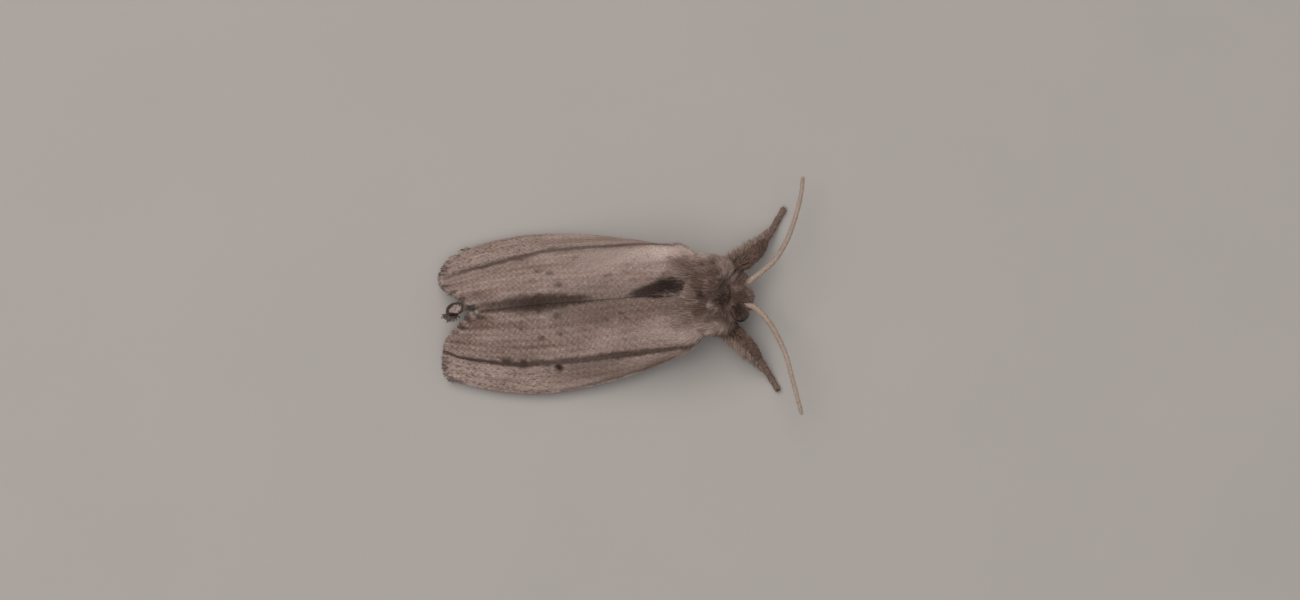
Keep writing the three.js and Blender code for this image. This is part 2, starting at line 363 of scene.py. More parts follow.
@dataclass(frozen=True, kw_only=True)
class CoatFinish(Finish):
    """Scales or hair, coloured by the markings: a ground, and what marked places turn to, with painted shade
    towards each tuft's root.
    """

    ground: Point
    dark: Point
    pale: Point
    brown: Point
    scatter: float = 0.28  # how much single tufts differ
    speckle: float = 0.05  # how much fine speckles differ
    root: float = 0.8  # brightness at a tuft's root: painted shade, as if the tufts over it shade it
    tip: float = 1.12  # brightness at its tip, lighter than the root: the other end of the painted root-to-tip shading
    roughness: float = 0.7
    specular: float = 0.12

    def colour(self, shader: Shader) -> Socket:
        """Builds the colour and the relief.

        Args:
            shader: the material.

        Returns:
            The colour.
        """
        marks = shader.node("Attribute", {"attribute_name": MARKS})
        dark, pale, brown = shader.node("SeparateColor", Color=marks.outputs["Color"]).outputs
        colour = shader.mix(brown, self.ground, self.brown)
        colour = shader.mix(pale, colour, self.pale)
        clouds, grain = (0.9, 0.35, 0.3, 0.7, 0.1), (0.1, 0.8, 0.34, 0.66, self.speckle)
        for size, stretch, low, high, depth in (clouds, grain):
            noise = shader.noise(size, stretch)
            colour = shader.scaled(colour, shader.span(noise, low, high, 1 - depth, 1 + depth))
        colour = shader.mix(dark, colour, self.dark)
        # painted shade: darker towards a tuft's root, lighter towards its tip
        along = shader.node("Attribute", {"attribute_name": ALONG}).outputs["Fac"]
        colour = shader.scaled(colour, shader.span(along, 0, 1, self.root, self.tip))
        half = self.scatter / 2
        colour = shader.scaled(colour, shader.span(marks.outputs["Alpha"], 0, 1, 1 - half, 1 + half))
        shader.bump(shader.noise(0.05, 0.4), 0.006, 0.4)
        return colour


@dataclass(frozen=True, kw_only=True)
class HornFinish(Finish):
    """Bare horn: claws, spurs, antennae and the tongue."""

    light: Point
    deep: Point
    roughness: float = 0.45
    specular: float = 0.4

    def colour(self, shader: Shader) -> Socket:
        """Builds the colour and a fine grain."""
        shader.bump(shader.noise(0.04), 0.006, 0.6)
        return shader.mix(shader.noise(0.25), self.deep, self.light)


@dataclass(frozen=True, kw_only=True)
class EyeFinish(Finish):
    """A compound eye: dark and glossy, with a fine net of facets and cloudy blotches."""

    light: Point
    deep: Point
    facet: float = 0.045  # width of a facet in millimetres
    roughness: float = 0.2

    def colour(self, shader: Shader) -> Socket:
        """Builds the colour and the facets.

        Args:
            shader: the material.

        Returns:
            The colour.
        """
        place = shader.node("TexCoord").outputs["Object"]
        cells = shader.node("TexVoronoi", Vector=place, Scale=1 / (self.facet * MM), Randomness=0.25)
        middle = cells.outputs["Distance"]
        shader.bump(shader.span(middle, 0.0, 0.6, 1.0, 0.0), 0.008, 0.5)
        colour = shader.mix(shader.span(shader.noise(0.5), 0.42, 0.66, 0.0, 1.0), self.deep, self.light)
        return shader.scaled(colour, shader.span(middle, 0.0, 0.6, 1.25, 0.6))


@dataclass(frozen=True, kw_only=True)
class FloorFinish(Finish):
    """A pale, matt, slightly uneven floor."""

    light: Point
    deep: Point
    roughness: float = 0.9
    specular: float = 0.2

    def colour(self, shader: Shader) -> Socket:
        """Builds the colour and a low relief."""
        shader.bump(shader.noise(0.8, detail=4.0), 0.03, 0.35)
        return shader.mix(shader.noise(14.0, detail=4.0), self.deep, self.light)


# root and tip in each coat finish set its painted shade towards the tufts' roots
WING_FINISH = CoatFinish(
    name="wing_scales", ground=(0.39, 0.283, 0.241), dark=(0.036, 0.021, 0.016), pale=(0.64, 0.51, 0.455),
    brown=(0.215, 0.137, 0.105), scatter=0.17, speckle=0.13, root=0.88, tip=1.07,
)
HINDWING_FINISH = CoatFinish(
    name="hindwing_scales", ground=(0.42, 0.34, 0.29), dark=(0.11, 0.075, 0.06), pale=(0.58, 0.5, 0.43),
    brown=(0.25, 0.18, 0.14),
)
THORAX_FINISH = CoatFinish(
    name="thorax_hair", ground=(0.195, 0.128, 0.104), dark=(0.055, 0.031, 0.023), pale=(0.58, 0.455, 0.39),
    brown=(0.19, 0.12, 0.092), scatter=0.3, root=0.8, tip=1.1,
)
ABDOMEN_FINISH = CoatFinish(
    name="abdomen_hair", ground=(0.33, 0.25, 0.205), dark=(0.1, 0.065, 0.05), pale=(0.5, 0.41, 0.35),
    brown=(0.24, 0.165, 0.12), scatter=0.4, root=0.6, tip=1.25,
)
LEG_FINISH = CoatFinish(
    name="leg_hair", ground=(0.29, 0.193, 0.153), dark=(0.065, 0.039, 0.029), pale=(0.5, 0.385, 0.32),
    brown=(0.13, 0.078, 0.058), scatter=0.36, root=0.7, tip=1.15,
)
ANTENNA_FINISH = HornFinish(name="antenna", light=(0.44, 0.32, 0.25), deep=(0.28, 0.185, 0.135))
CLAW_FINISH = HornFinish(name="claw", light=(0.09, 0.05, 0.035), deep=(0.03, 0.018, 0.014), roughness=0.3)
EYE_FINISH = EyeFinish(name="eye", deep=(0.01, 0.007, 0.006), light=(0.035, 0.024, 0.017))
FLOOR_FINISH = FloorFinish(name="floor", light=(0.425, 0.395, 0.37), deep=(0.4, 0.375, 0.352))


# ---------- pieces and tufts ----------


@dataclass(frozen=True)
class Piece:
    """A piece's name, its finish, the name of its slot, which is kept but not used here, and the solids that
    it stands for.
    """

    name: str
    finish: Finish
    slot: str
    nodes: tuple[str, ...]

    def carry(self, obj: Mesh, marks: Array | None = None) -> None:
        """Carries a mesh drawn in millimetres to the shared frame and hands it over.

        Args:
            obj: the mesh object.
            marks: its corners' markings, as rows of dark, pale, brown and random.
        """
        deselect()
        obj.select_set(True)
        bpy.context.view_layer.objects.active = obj
        bpy.ops.object.transform_apply(location=True, rotation=True, scale=True)
        points = corners_of(obj)
        points[:, 2] = np.maximum(points[:, 2], FLOOR_GAP)
        move_corners(obj, placed(points))
        self.hand_over(obj, marks)

    def hand_over(self, obj: Mesh, marks: Array | None) -> None:
        """Dresses the piece, puts it in the shared frame's care and logs it.

        Args:
            obj: the mesh object, in metres in the shared frame.
            marks: its corners' markings.
        """
        mesh = obj.data
        obj.name = mesh.name = self.name
        if marks is not None:
            layer = mesh.attributes.new(MARKS, "FLOAT_COLOR", "POINT")
            layer.data.foreach_set("color", np.ascontiguousarray(marks, float).ravel())
        mesh.materials.clear()
        mesh.materials.append(self.finish.material)
        mesh.polygons.foreach_set("use_smooth", [True] * len(mesh.polygons))
        mesh.update()
        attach(obj, BODY)
        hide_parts(*self.nodes)
        LOG.info("%s: %d triangles", obj.name, sum(len(p.vertices) - 2 for p in mesh.polygons))


@dataclass(frozen=True)
class TuftForm:
    """One closed tuft: corners as along, across and lift, each about 0 to 1, and its triangles."""

    corners: tuple[Point, ...]
    faces: tuple[tuple[int, int, int], ...]


def scale_form() -> TuftForm:
    """A flat scale with a pointed root, a blunt tip, a crown above and a keel below.

    Returns:
        The form, of 7 corners and 10 triangles.
    """
    outline = ((0.0, 0.0), (0.5, -0.5), (0.93, -0.31), (1.0, 0.27), (0.52, 0.5))
    corners = tuple((along, across, 0.0) for along, across in outline)
    ring = [(i, (i + 1) % 5) for i in range(5)]
    faces = tuple((a, b, 5) for a, b in ring) + tuple((b, a, 6) for a, b in ring)
    return TuftForm((*corners, (0.6, 0.0, 1.0), (0.6, 0.0, -0.5)), faces)


def hair_form() -> TuftForm:
    """A tapering three-sided hair that ends in a point.

    Returns:
        The form, of 10 corners and 16 triangles.
    """
    section = ((-0.5, -0.3), (0.5, -0.3), (0.0, 0.6))
    stations = ((0.0, 0.75), (0.38, 1.0), (0.74, 0.62))
    corners = tuple((a, girth * y, girth * z) for a, girth in stations for y, z in section)
    faces = [(0, 2, 1)]
    for a in range(9):
        b = a - a % 3 + (a + 1) % 3
        faces += [(a, b, 9)] if a > 5 else [(a, b, a + 3), (b, b + 3, a + 3)]
    return TuftForm((*corners, (1.0, 0.0, 0.0)), tuple(faces))


SCALE = scale_form()
HAIR = hair_form()


@dataclass
class Tufts:
    """Where tufts grow and how each one looks, a row per tuft, in millimetres."""

    roots: Array
    along: Array  # which way a tuft points, of length 1
    up: Array  # which way its back faces
    length: Array
    width: Array | float
    depth: Array | float
    curl: Array | float  # how far the tip bends to its back, as a share of the length
    marks: Array
    map: Array  # place on the unwrap

    def __post_init__(self) -> None:
        """Gives every tuft its own number where one was given for all."""
        for name in ("width", "depth", "curl"):
            setattr(self, name, np.broadcast_to(getattr(self, name), len(self.roots)))

    @staticmethod
    def together(groups: list["Tufts"]) -> "Tufts":
        """Several groups as one."""
        return Tufts(*(np.concatenate([getattr(g, f.name) for g in groups]) for f in fields(Tufts)))

    def grow(self, piece: Piece, form: TuftForm) -> None:
        """Joins all the tufts into one solid mesh in the shared frame and hands it over.

        Args:
            piece: what the mesh is.
            form: the shape of one tuft.
        """
        corners, faces = np.array(form.corners), np.array(form.faces)
        side = unit(np.cross(self.up, self.along))
        up = np.cross(self.along, side)
        a, c, h = corners.T
        lift = h * self.depth[:, None] + a**2 * (self.curl * self.length)[:, None]
        points = self.roots[:, None] + self.along[:, None] * (a * self.length[:, None])[..., None]
        points += side[:, None] * (c * self.width[:, None])[..., None] + up[:, None] * lift[..., None]
        points[..., 2] = np.maximum(points[..., 2], FLOOR_GAP)
        count, each = len(self.roots), len(corners)
        triangles = (faces[None] + each * np.arange(count)[:, None, None]).reshape(-1, 3)
        mesh = bpy.data.meshes.new(piece.name)
        mesh.vertices.add(count * each)
        mesh.vertices.foreach_set("co", placed(points.reshape(-1, 3)).ravel())
        mesh.loops.add(triangles.size)
        mesh.loops.foreach_set("vertex_index", triangles.ravel().astype(np.int32))
        mesh.polygons.add(len(triangles))
        mesh.polygons.foreach_set("loop_start", np.arange(0, triangles.size, 3, dtype=np.int32))
        mesh.update(calc_edges=True)
        spots = self.map[:, None] + np.c_[a - 0.5, c][None] * PATCH
        flat = np.clip(spots.reshape(-1, 2), 0, 1)[triangles.ravel()]
        mesh.uv_layers.new(name=BAKE_MAP).data.foreach_set("uv", flat.ravel())
        mesh.attributes.new(ALONG, "FLOAT", "POINT").data.foreach_set("value", np.tile(a, count))
        obj = bpy.data.objects.new(piece.name, mesh)
        bpy.context.scene.collection.objects.link(obj)
        piece.hand_over(obj, np.repeat(self.marks, each, axis=0))


# ---------- wings ----------


@dataclass(frozen=True)
class WingShape:
    """The middle surface of one folded wing.

    A row of the roof gives the distance behind the pivot, how far the fold and the edge lie to the
    side, and how high the ridge, the fold and the edge are.
    """

    side: Side
    outer_line: tuple[float, ...]  # where the fringe ends, at even shares of the breadth
    spread: float  # how wide the wing is folded
    lap: tuple[float, float]  # how far the inner edge is shifted sideways, and up
    base_line: tuple[float, ...] = (2.0, 1.6, 1.25, 0.9, 0.6, 0.3, 0.2, 0.3, 0.7, 1.6)  # where it begins
    roof: tuple[tuple[float, ...], ...] = (
        (-0.6, 3.1, 3.2, 5.5, 4.3, 3.3),
        (2.2, 3.65, 3.9, 5.45, 4.3, 2.3),
        (5.0, 3.95, 4.75, 5.25, 3.9, 1.6),
        (8.5, 4.05, 5.45, 4.8, 3.25, 1.0),
        (12.0, 3.95, 5.7, 4.15, 2.55, 0.75),
        (15.5, 3.4, 5.25, 3.2, 1.85, 0.7),
        (18.8, 2.5, 4.25, 2.1, 1.25, 0.75),
    )
    fold_share: float = 0.62  # where the wing folds down
    rounding: float = 0.14  # how far from the fold, as a share, its rounding begins
    crown: float = 0.14  # how far the part between the seam and the fold bulges up
    lap_share: float = 0.05  # how fast the lap fades from the seam
    yaw: float = math.radians(3.4)  # how far the folded wings trail to the moth's right
    pivot_y: float = 0.1

    def measures(self, distance: Array) -> Array:
        """Reads the roof smoothly.

        Args:
            distance: millimetres behind the pivot.

        Returns:
            Fold, edge, ridge height, fold height and edge height, an array each.
        """
        roof = np.array(self.roof)
        last = len(roof) - 1
        upper = np.clip(np.searchsorted(roof[:, 0], distance), 1, last)
        a, b, c, d = (roof[np.clip(upper + k, 0, last)] for k in (-2, -1, 0, 1))
        gap = c[:, :1] - b[:, :1]
        f = np.clip((distance[:, None] - b[:, :1]) / gap, 0, 1)
        slope_b = (c - a) / (c[:, :1] - a[:, :1]) * gap
        slope_c = (d - b) / (d[:, :1] - b[:, :1]) * gap
        f2, f3 = f * f, f * f * f
        smooth = b * (2 * f3 - 3 * f2 + 1) + slope_b * (f3 - 2 * f2 + f)
        smooth += c * (3 * f2 - 2 * f3) + slope_c * (f3 - f2)
        return smooth[:, 1:].T

    def flat(self, distance: Array, share: Array) -> Array:
        """The middle surface before it trails to the side.

        Args:
            distance: millimetres behind the pivot.
            share: share of the breadth.

        Returns:
            Rows of x, y, z in millimetres.
        """
        fold_y, edge_y, ridge_z, fold_z, edge_z = self.measures(distance)
        ridge, fold, edge = rows(0.0, ridge_z), rows(fold_y, fold_z), rows(edge_y, edge_z)
        split, width = self.fold_share, self.rounding

        def sharp(v: Array) -> Array:
            """The section with a sharp fold, at shares v."""
            strip = fold + (edge - fold) * ((v - split) / (1 - split))[:, None]
            return np.where((v < split)[:, None], ridge + (fold - ridge) * (v / split)[:, None], strip)

        start, end = sharp(np.full_like(share, split - width)), sharp(np.full_like(share, split + width))
        f = np.clip((share - split + width) / (2 * width), 0, 1)[:, None]
        inner = start + (fold - start) * f
        rounded = inner + (fold + (end - fold) * f - inner) * f
        point = np.where((np.abs(share - split) < width)[:, None], rounded, sharp(share))
        lap = np.exp(-((share / self.lap_share) ** 2))
        high = point[:, 1] + self.crown * np.sin(np.pi * np.minimum(share / split, 1)) + self.lap[1] * lap
        return rows(-distance, self.side.value * (point[:, 0] * self.spread + self.lap[0] * lap), high)

    def at(self, distance: Array, share: Array, height: Array | float) -> tuple[Array, Array, Array]:
        """Points over the wing, with the way up and the way back there.

        Args:
            distance: millimetres behind the pivot.
            share: share of the breadth.
            height: millimetres above the middle surface.

        Returns:
            Points, upward normals and backward directions.
        """
        reach = 0.02
        back = self.flat(distance + reach, share) - self.flat(distance - reach, share)
        outer, inner = np.minimum(share + reach, 1), np.maximum(share - reach, 0)
        out = self.flat(distance, outer) - self.flat(distance, inner)
        normal = unit(np.cross(out, back) * -self.side.value)
        normal *= np.sign(normal[:, 2:3] + 1e-9)
        point = self.flat(distance, share) + normal * np.broadcast_to(height, distance.shape)[:, None]
        return self.trailed(point), self.turned(normal), self.turned(unit(back))

    def turned(self, vectors: Array) -> Array:
        """Turns rows of x, y, z with the trailing wings."""
        cosine, sine = math.cos(self.yaw), math.sin(self.yaw)
        return vectors @ np.array(((cosine, sine, 0.0), (-sine, cosine, 0.0), (0.0, 0.0, 1.0)))

    def trailed(self, points: Array) -> Array:
        """Turns points about the pivot."""
        return self.turned(points) + np.array((0.0, self.pivot_y, 0.0))

    def breadth(self, distance: Array) -> Array:
        """The way over the roof from the seam to the front edge.

        Args:
            distance: millimetres behind the pivot.

        Returns:
            Millimetres.
        """
        fold, edge, ridge_z, fold_z, edge_z = self.measures(distance)
        disc = np.hypot(fold * self.spread, ridge_z - fold_z)
        return disc + np.hypot((edge - fold) * self.spread, fold_z - edge_z)

    def base(self, share: Array) -> Array:
        """Where the wing begins, in millimetres behind the pivot."""
        return smooth_through(self.base_line, share)

    def outer(self, share: Array) -> Array:
        """Where the wing with its fringe ends, in millimetres behind the pivot."""
        return smooth_through(self.outer_line, share)


SHAPES = {
    Side.LEFT: WingShape(
        Side.LEFT,
        outer_line=(16.3, 16.95, 17.45, 18.1, 18.55, 18.75, 18.8, 18.65, 18.1, 16.8),
        spread=0.935,
        lap=(-0.2, 0.06),
    ),
    Side.RIGHT: WingShape(
        Side.RIGHT,
        outer_line=(16.3, 16.9, 17.4, 18.05, 18.5, 18.65, 18.75, 18.85, 18.8, 18.3),
        spread=1.025,
        lap=(0.0, -0.03),
    ),
}


class Tone(Enum):
    """Which marking a stroke or a spot adds to; the value is its column."""

    DARK = 0
    PALE = 1
    BROWN = 2


@dataclass(frozen=True)
class Stroke:
    """A soft line on a wing; each bend is a distance, a share, a half width in mm and a strength."""

    tone: Tone
    bends: tuple[Bend, ...]
    ragged: float = 0.35  # how uneven its edges are

    def strength(self, places: Array, breadth: float, noise: Array) -> Array:
        """How strongly the stroke shows at places on the wing.

        Args:
            places: rows of distance and share.
            breadth: the wing's breadth in millimetres.
            noise: a random number of -1 to 1 per place.

        Returns:
            Numbers from 0 to 1.
        """
        best = np.zeros(len(places))
        bends = np.array(self.bends)
        ends = bends[:, :2] * (1.0, breadth)
        for a, b, first, second in zip(ends[:-1], ends[1:], bends[:-1], bends[1:]):
            run, away = b - a, places * (1.0, breadth) - a
            f = np.clip((away @ run) / (run @ run), 0, 1)
            gap = np.linalg.norm(away - f[:, None] * run, axis=1)
            half = (first[2] + (second[2] - first[2]) * f) * (1 + self.ragged * noise)
            level = first[3] + (second[3] - first[3]) * f
            best = np.maximum(best, level * step(gap, half * 1.6 + 0.03, half * 0.45))
        return best


@dataclass(frozen=True)
class Spot:
    """A soft spot on a wing: a distance, a share, its two radii in mm and a strength."""

    tone: Tone
    distance: float
    share: float
    long: float
    wide: float
    level: float

    def strength(self, places: Array, breadth: float, noise: Array) -> Array:
        """How strongly the spot shows at places; see Stroke.strength."""
        gap = (places - (self.distance, self.share)) * (1 / self.long, breadth / self.wide)
        return self.level * step(np.linalg.norm(gap, axis=1) + 0.2 * noise, 1.45, 0.3)


# Dark line along each wing's fold: partly a real line, partly painted shade where the wing bends down,
# stronger on the right wing. Rows of distance, share, half width and strength.
FOLD_LINE_AND_SHADE = {
    Side.LEFT: (
        (1.4, 0.69, 0.16, 0.35), (2.6, 0.705, 0.2, 0.6), (4.35, 0.67, 0.2, 0.58), (5.7, 0.64, 0.2, 0.6),
        (8.5, 0.635, 0.2, 0.6), (11.35, 0.63, 0.18, 0.62), (12.75, 0.605, 0.18, 0.72),
        (15.65, 0.6, 0.15, 0.72), (17.1, 0.625, 0.14, 0.55), (18.35, 0.61, 0.12, 0.35),
    ),
    Side.RIGHT: (
        (0.2, 0.71, 0.16, 0.6), (1.3, 0.66, 0.22, 0.68), (3.4, 0.612, 0.24, 0.74), (6.15, 0.59, 0.25, 0.74),
        (8.95, 0.608, 0.21, 0.74), (11.75, 0.607, 0.21, 0.76), (13.15, 0.632, 0.22, 0.8),
        (15.95, 0.63, 0.14, 0.84), (17.4, 0.645, 0.12, 0.85), (18.8, 0.595, 0.1, 0.85),
    ),
}
SEAM_BAND = {
    Side.LEFT: (
        (4.5, 0.0, 0.12, 0.6), (6.2, 0.0, 0.13, 0.4), (7.4, 0.0, 0.16, 0.5), (8.7, 0.01, 0.28, 0.82),
        (11.5, 0.02, 0.48, 0.86), (13.3, 0.02, 0.44, 0.8), (15.6, 0.02, 0.3, 0.45),
    ),
    Side.RIGHT: (
        (6.6, 0.0, 0.15, 0.5), (8.6, 0.01, 0.3, 0.75), (11.5, 0.025, 0.42, 0.8), (13.3, 0.025, 0.36, 0.78),
        (15.6, 0.015, 0.2, 0.45),
    ),
}
# Spots: distance, share, length, width and strength.
SPOTS = {
    Side.LEFT: (
        (11.6, 0.375, 0.14, 0.11, 0.6), (10.7, 0.33, 0.18, 0.14, 0.65), (10.1, 0.175, 0.26, 0.16, 0.65),
        (6.65, 0.245, 0.28, 0.13, 0.6), (5.45, 0.27, 0.22, 0.12, 0.45), (12.75, 0.6, 0.26, 0.24, 0.8),
        (10.5, 0.65, 0.35, 0.2, 0.8), (8.9, 0.5, 0.16, 0.12, 0.35), (12.0, 0.26, 0.2, 0.14, 0.35),
        (18.5, 0.47, 0.14, 0.07, 0.6), (17.65, 0.335, 0.16, 0.09, 0.55), (17.1, 0.17, 0.22, 0.12, 0.5),
    ),
    Side.RIGHT: (
        (11.55, 0.355, 0.16, 0.13, 0.75), (10.35, 0.145, 0.28, 0.17, 0.75), (10.2, 0.325, 0.17, 0.12, 0.6),
        (6.95, 0.22, 0.3, 0.15, 0.5), (5.85, 0.175, 0.16, 0.09, 0.65), (5.65, 0.235, 0.16, 0.09, 0.65),
        (14.1, 0.61, 0.32, 0.26, 1.1), (12.95, 0.63, 0.3, 0.27, 1.1), (10.45, 0.672, 0.25, 0.25, 1.25),
        (17.75, 0.32, 0.2, 0.1, 0.55), (17.45, 0.43, 0.15, 0.09, 0.5), (12.9, 0.25, 0.2, 0.14, 0.35),
    ),
}
# Dashes at the outer edge: distance and share where each starts and ends.
DASHES = {
    Side.LEFT: (
        (18.7, 0.83, 18.0, 0.785), (18.75, 0.7, 18.15, 0.685), (18.0, 0.955, 17.2, 0.92),
        (18.6, 0.765, 18.1, 0.74), (18.4, 0.47, 17.9, 0.46), (18.0, 0.33, 17.4, 0.325),
        (17.4, 0.19, 16.8, 0.19), (16.7, 0.01, 16.1, 0.03),
    ),
    Side.RIGHT: (
        (15.9, 0.1, 15.4, 0.105), (16.75, 0.14, 16.25, 0.147), (17.3, 0.235, 16.7, 0.235),
        (18.8, 0.77, 18.25, 0.75), (18.85, 0.7, 18.3, 0.69), (18.85, 0.905, 18.1, 0.965),
        (18.1, 1.0, 17.4, 0.99), (18.85, 0.84, 18.4, 0.83),
    ),
}
DROP = (
    (1.72, 0.13, 0.3, 0.6), (2.15, 0.112, 0.46, 0.88), (2.6, 0.098, 0.55, 0.95), (3.2, 0.075, 0.5, 0.95),
    (3.9, 0.045, 0.39, 0.95), (4.7, 0.02, 0.27, 0.92), (5.6, 0.0, 0.16, 0.6),
)
# What only one wing shows: on the left a black drop at the base, a pale shoulder and a pale margin,
# on the right a brown inner half, a pale base and a brown edge; on both a shade beside the seam.
ONE_SIDED = {
    Side.LEFT: (
        Stroke(Tone.DARK, DROP, 0.15),
        Stroke(Tone.DARK, tuple((d, s, 1.45 * half, 0.4) for d, s, half, _ in DROP), 0.3),
        Stroke(Tone.BROWN, ((-0.6, 0.34, 0.95, 1.0), (1.5, 0.3, 0.85, 1.0), (2.4, 0.22, 0.5, 0.6)), 0.2),
        Stroke(Tone.DARK, ((-0.6, 0.34, 0.8, 0.2), (1.3, 0.3, 0.7, 0.16)), 0.3),
        Stroke(Tone.PALE, ((3.3, 0.5, 0.75, 0.85), (5.0, 0.48, 0.7, 0.6), (8.5, 0.45, 0.9, 0.3)), 0.3),
        Stroke(Tone.PALE, ((-0.6, 0.6, 0.3, 0.75), (1.2, 0.58, 0.4, 0.9), (2.2, 0.54, 0.55, 1.0),
                           (3.3, 0.52, 0.65, 1.0)), 0.3),
        Stroke(Tone.DARK, ((4.0, 0.03, 0.9, 0.26), (6.0, 0.03, 1.0, 0.36), (8.0, 0.03, 0.9, 0.36),
                           (9.8, 0.02, 0.7, 0.26)), 0.3),
        Stroke(Tone.BROWN, ((1.5, 0.9, 0.6, 0.7), (5.5, 0.85, 0.7, 0.6), (9.0, 0.85, 0.5, 0.25)), 0.3),
    ),
    Side.RIGHT: (
        Stroke(Tone.DARK, ((1.9, 0.0, 0.1, 0.9), (3.3, 0.01, 0.3, 0.95), (5.6, 0.0, 0.12, 0.8)), 0.15),
        Stroke(Tone.BROWN, ((-0.3, 0.2, 0.9, 1.0), (1.5, 0.15, 1.0, 1.0), (6.0, 0.15, 1.3, 0.9),
                            (9.5, 0.17, 1.2, 0.7), (13.0, 0.15, 0.8, 0.3)), 0.25),
        Stroke(Tone.DARK, ((-0.3, 0.2, 0.8, 0.22), (1.5, 0.15, 0.8, 0.2), (3.5, 0.12, 0.6, 0.08)), 0.3),
        Stroke(Tone.DARK, ((4.0, 0.06, 0.8, 0.22), (6.0, 0.06, 1.0, 0.34), (8.0, 0.07, 1.1, 0.36),
                           (10.0, 0.14, 0.9, 0.3)), 0.3),
        Stroke(Tone.DARK, ((2.8, 0.5, 0.5, 0.16), (5.0, 0.5, 0.6, 0.16)), 0.3),
        Stroke(Tone.DARK, ((6.2, 0.65, 0.34, 0.34), (9.6, 0.67, 0.4, 0.34)), 0.4),
        Stroke(Tone.PALE, ((-0.8, 0.62, 0.35, 0.8), (1.5, 0.5, 0.5, 0.7), (3.5, 0.43, 0.42, 0.5),
                           (5.2, 0.4, 0.3, 0.3)), 0.3),
        Stroke(Tone.DARK, ((2.6, 0.93, 0.14, 0.5), (6.3, 0.94, 0.16, 0.5), (10.5, 0.985, 0.1, 0.35)), 0.4),
        Stroke(Tone.BROWN, ((1.5, 0.85, 0.5, 0.6), (5.0, 0.82, 0.8, 0.65), (8.5, 0.8, 0.95, 0.75),
                            (10.5, 0.85, 0.6, 0.3)), 0.3),
    ),
}
# Where flecks are strewn: distances, shares, how many and how strong.
FLECKS = (
    (11.0, 18.3, 0.64, 0.99, 620, 0.62),
    (4.0, 12.0, 0.7, 0.99, 160, 0.4),
    (14.0, 18.4, 0.1, 0.58, 160, 0.36),
    (3.0, 14.5, 0.12, 0.56, 140, 0.22),
)


@dataclass
class WingMarks:
    """The markings of one forewing, drawn from named strokes, spots and strewn flecks."""

    side: Side
    breadth: float = 6.4
    dash_ends: tuple[tuple[float, float], ...] = ((0.17, 0.75), (0.1, 0.5))  # half widths and strengths
    fleck_size: tuple[float, float] = (0.045, 0.1)
    dark_flecks: float = 0.45  # share of the flecks that are dark; the others are brown
    seed: int = 41
    marks: list[Stroke | Spot] = field(init=False)

    def __post_init__(self) -> None:
        """Draws the strokes and spots."""
        fold, seam = FOLD_LINE_AND_SHADE[self.side], SEAM_BAND[self.side]
        self.marks = [
            # the fold line: partly a real line, partly painted shade of the bend
            Stroke(Tone.DARK, fold),
            Stroke(Tone.DARK, seam, 0.25),
            Stroke(Tone.DARK, tuple((d, s, 1.5 * half, 0.4 * level) for d, s, half, level in seam), 0.3),
            # a wider, fainter halo round the fold line, also partly painted shade of the bend
            Stroke(Tone.DARK, tuple((d, s, 1.9 * half, 0.25 * level) for d, s, half, level in fold), 0.5),
            *ONE_SIDED[self.side],
        ]
        for d, s, long, wide, level in SPOTS[self.side]:
            self.marks.append(Spot(Tone.DARK, d, s, 1.5 * long, 1.6 * wide, 0.8 * level))
        first, last = self.dash_ends
        for a, b, c, d in DASHES[self.side]:
            self.marks.append(Stroke(Tone.DARK, ((a, b, *first), (c, d, *last))))
        rng = np.random.default_rng(self.seed + self.side.value)
        for low, high, inner, outer, count, level in FLECKS:
            for _ in range(count):
                size = rng.uniform(*self.fleck_size)
                tone = Tone.DARK if rng.uniform() < self.dark_flecks else Tone.BROWN
                place = rng.uniform(low, high), rng.uniform(inner, outer)
                long = size * rng.uniform(0.9, 1.5)
                self.marks.append(Spot(tone, *place, long, size * 0.6, level * rng.uniform(0.5, 1.1)))

    def read(self, distance: Array, share: Array, seed: int) -> Array:
        """The markings at places on the wing.

        Args:
            distance: millimetres behind the pivot.
            share: share of the breadth.
            seed: which random numbers single tufts get.

        Returns:
            Rows of dark, pale, brown and random.
        """
        flat = rows(distance, share)
        place = flat * (1.0, self.breadth)
        noise = 0.6 * ripple(place, 0.5, 5) + 0.4 * ripple(place, 0.18, 6)
        marks = np.zeros((len(flat), 4))
        for mark in self.marks:
            column = mark.tone.value
            marks[:, column] = np.maximum(marks[:, column], mark.strength(flat, self.breadth, noise))
        streaks = 0.03 * ripple(place * (0.4, 1.0), 0.24, 8) * step(distance, 3, 15)
        grain = ripple(place * (0.8, 1.0), 0.17, 12)
        blotch = ripple(place * (0.5, 1.0), 1.1, 9)
        marks[:, 1] = np.maximum(marks[:, 1], 0.2 + streaks + 0.1 * grain + 0.1 * blotch)
        rear = 0.34 * step(distance, 7, 14) * step(share, 0.62, 0.52)
        deeper = 0.32 * step(share, 0.7, 0.5) if self.side is Side.RIGHT else 0.0
        marks[:, 2] = np.maximum(marks[:, 2], 0.16 - streaks - 0.13 * grain - 0.12 * blotch + rear + deeper)
        marks[:, :3] = np.clip(marks[:, :3], 0, 1)
        marks[:, 3] = chances(seed, len(flat))
        return marks


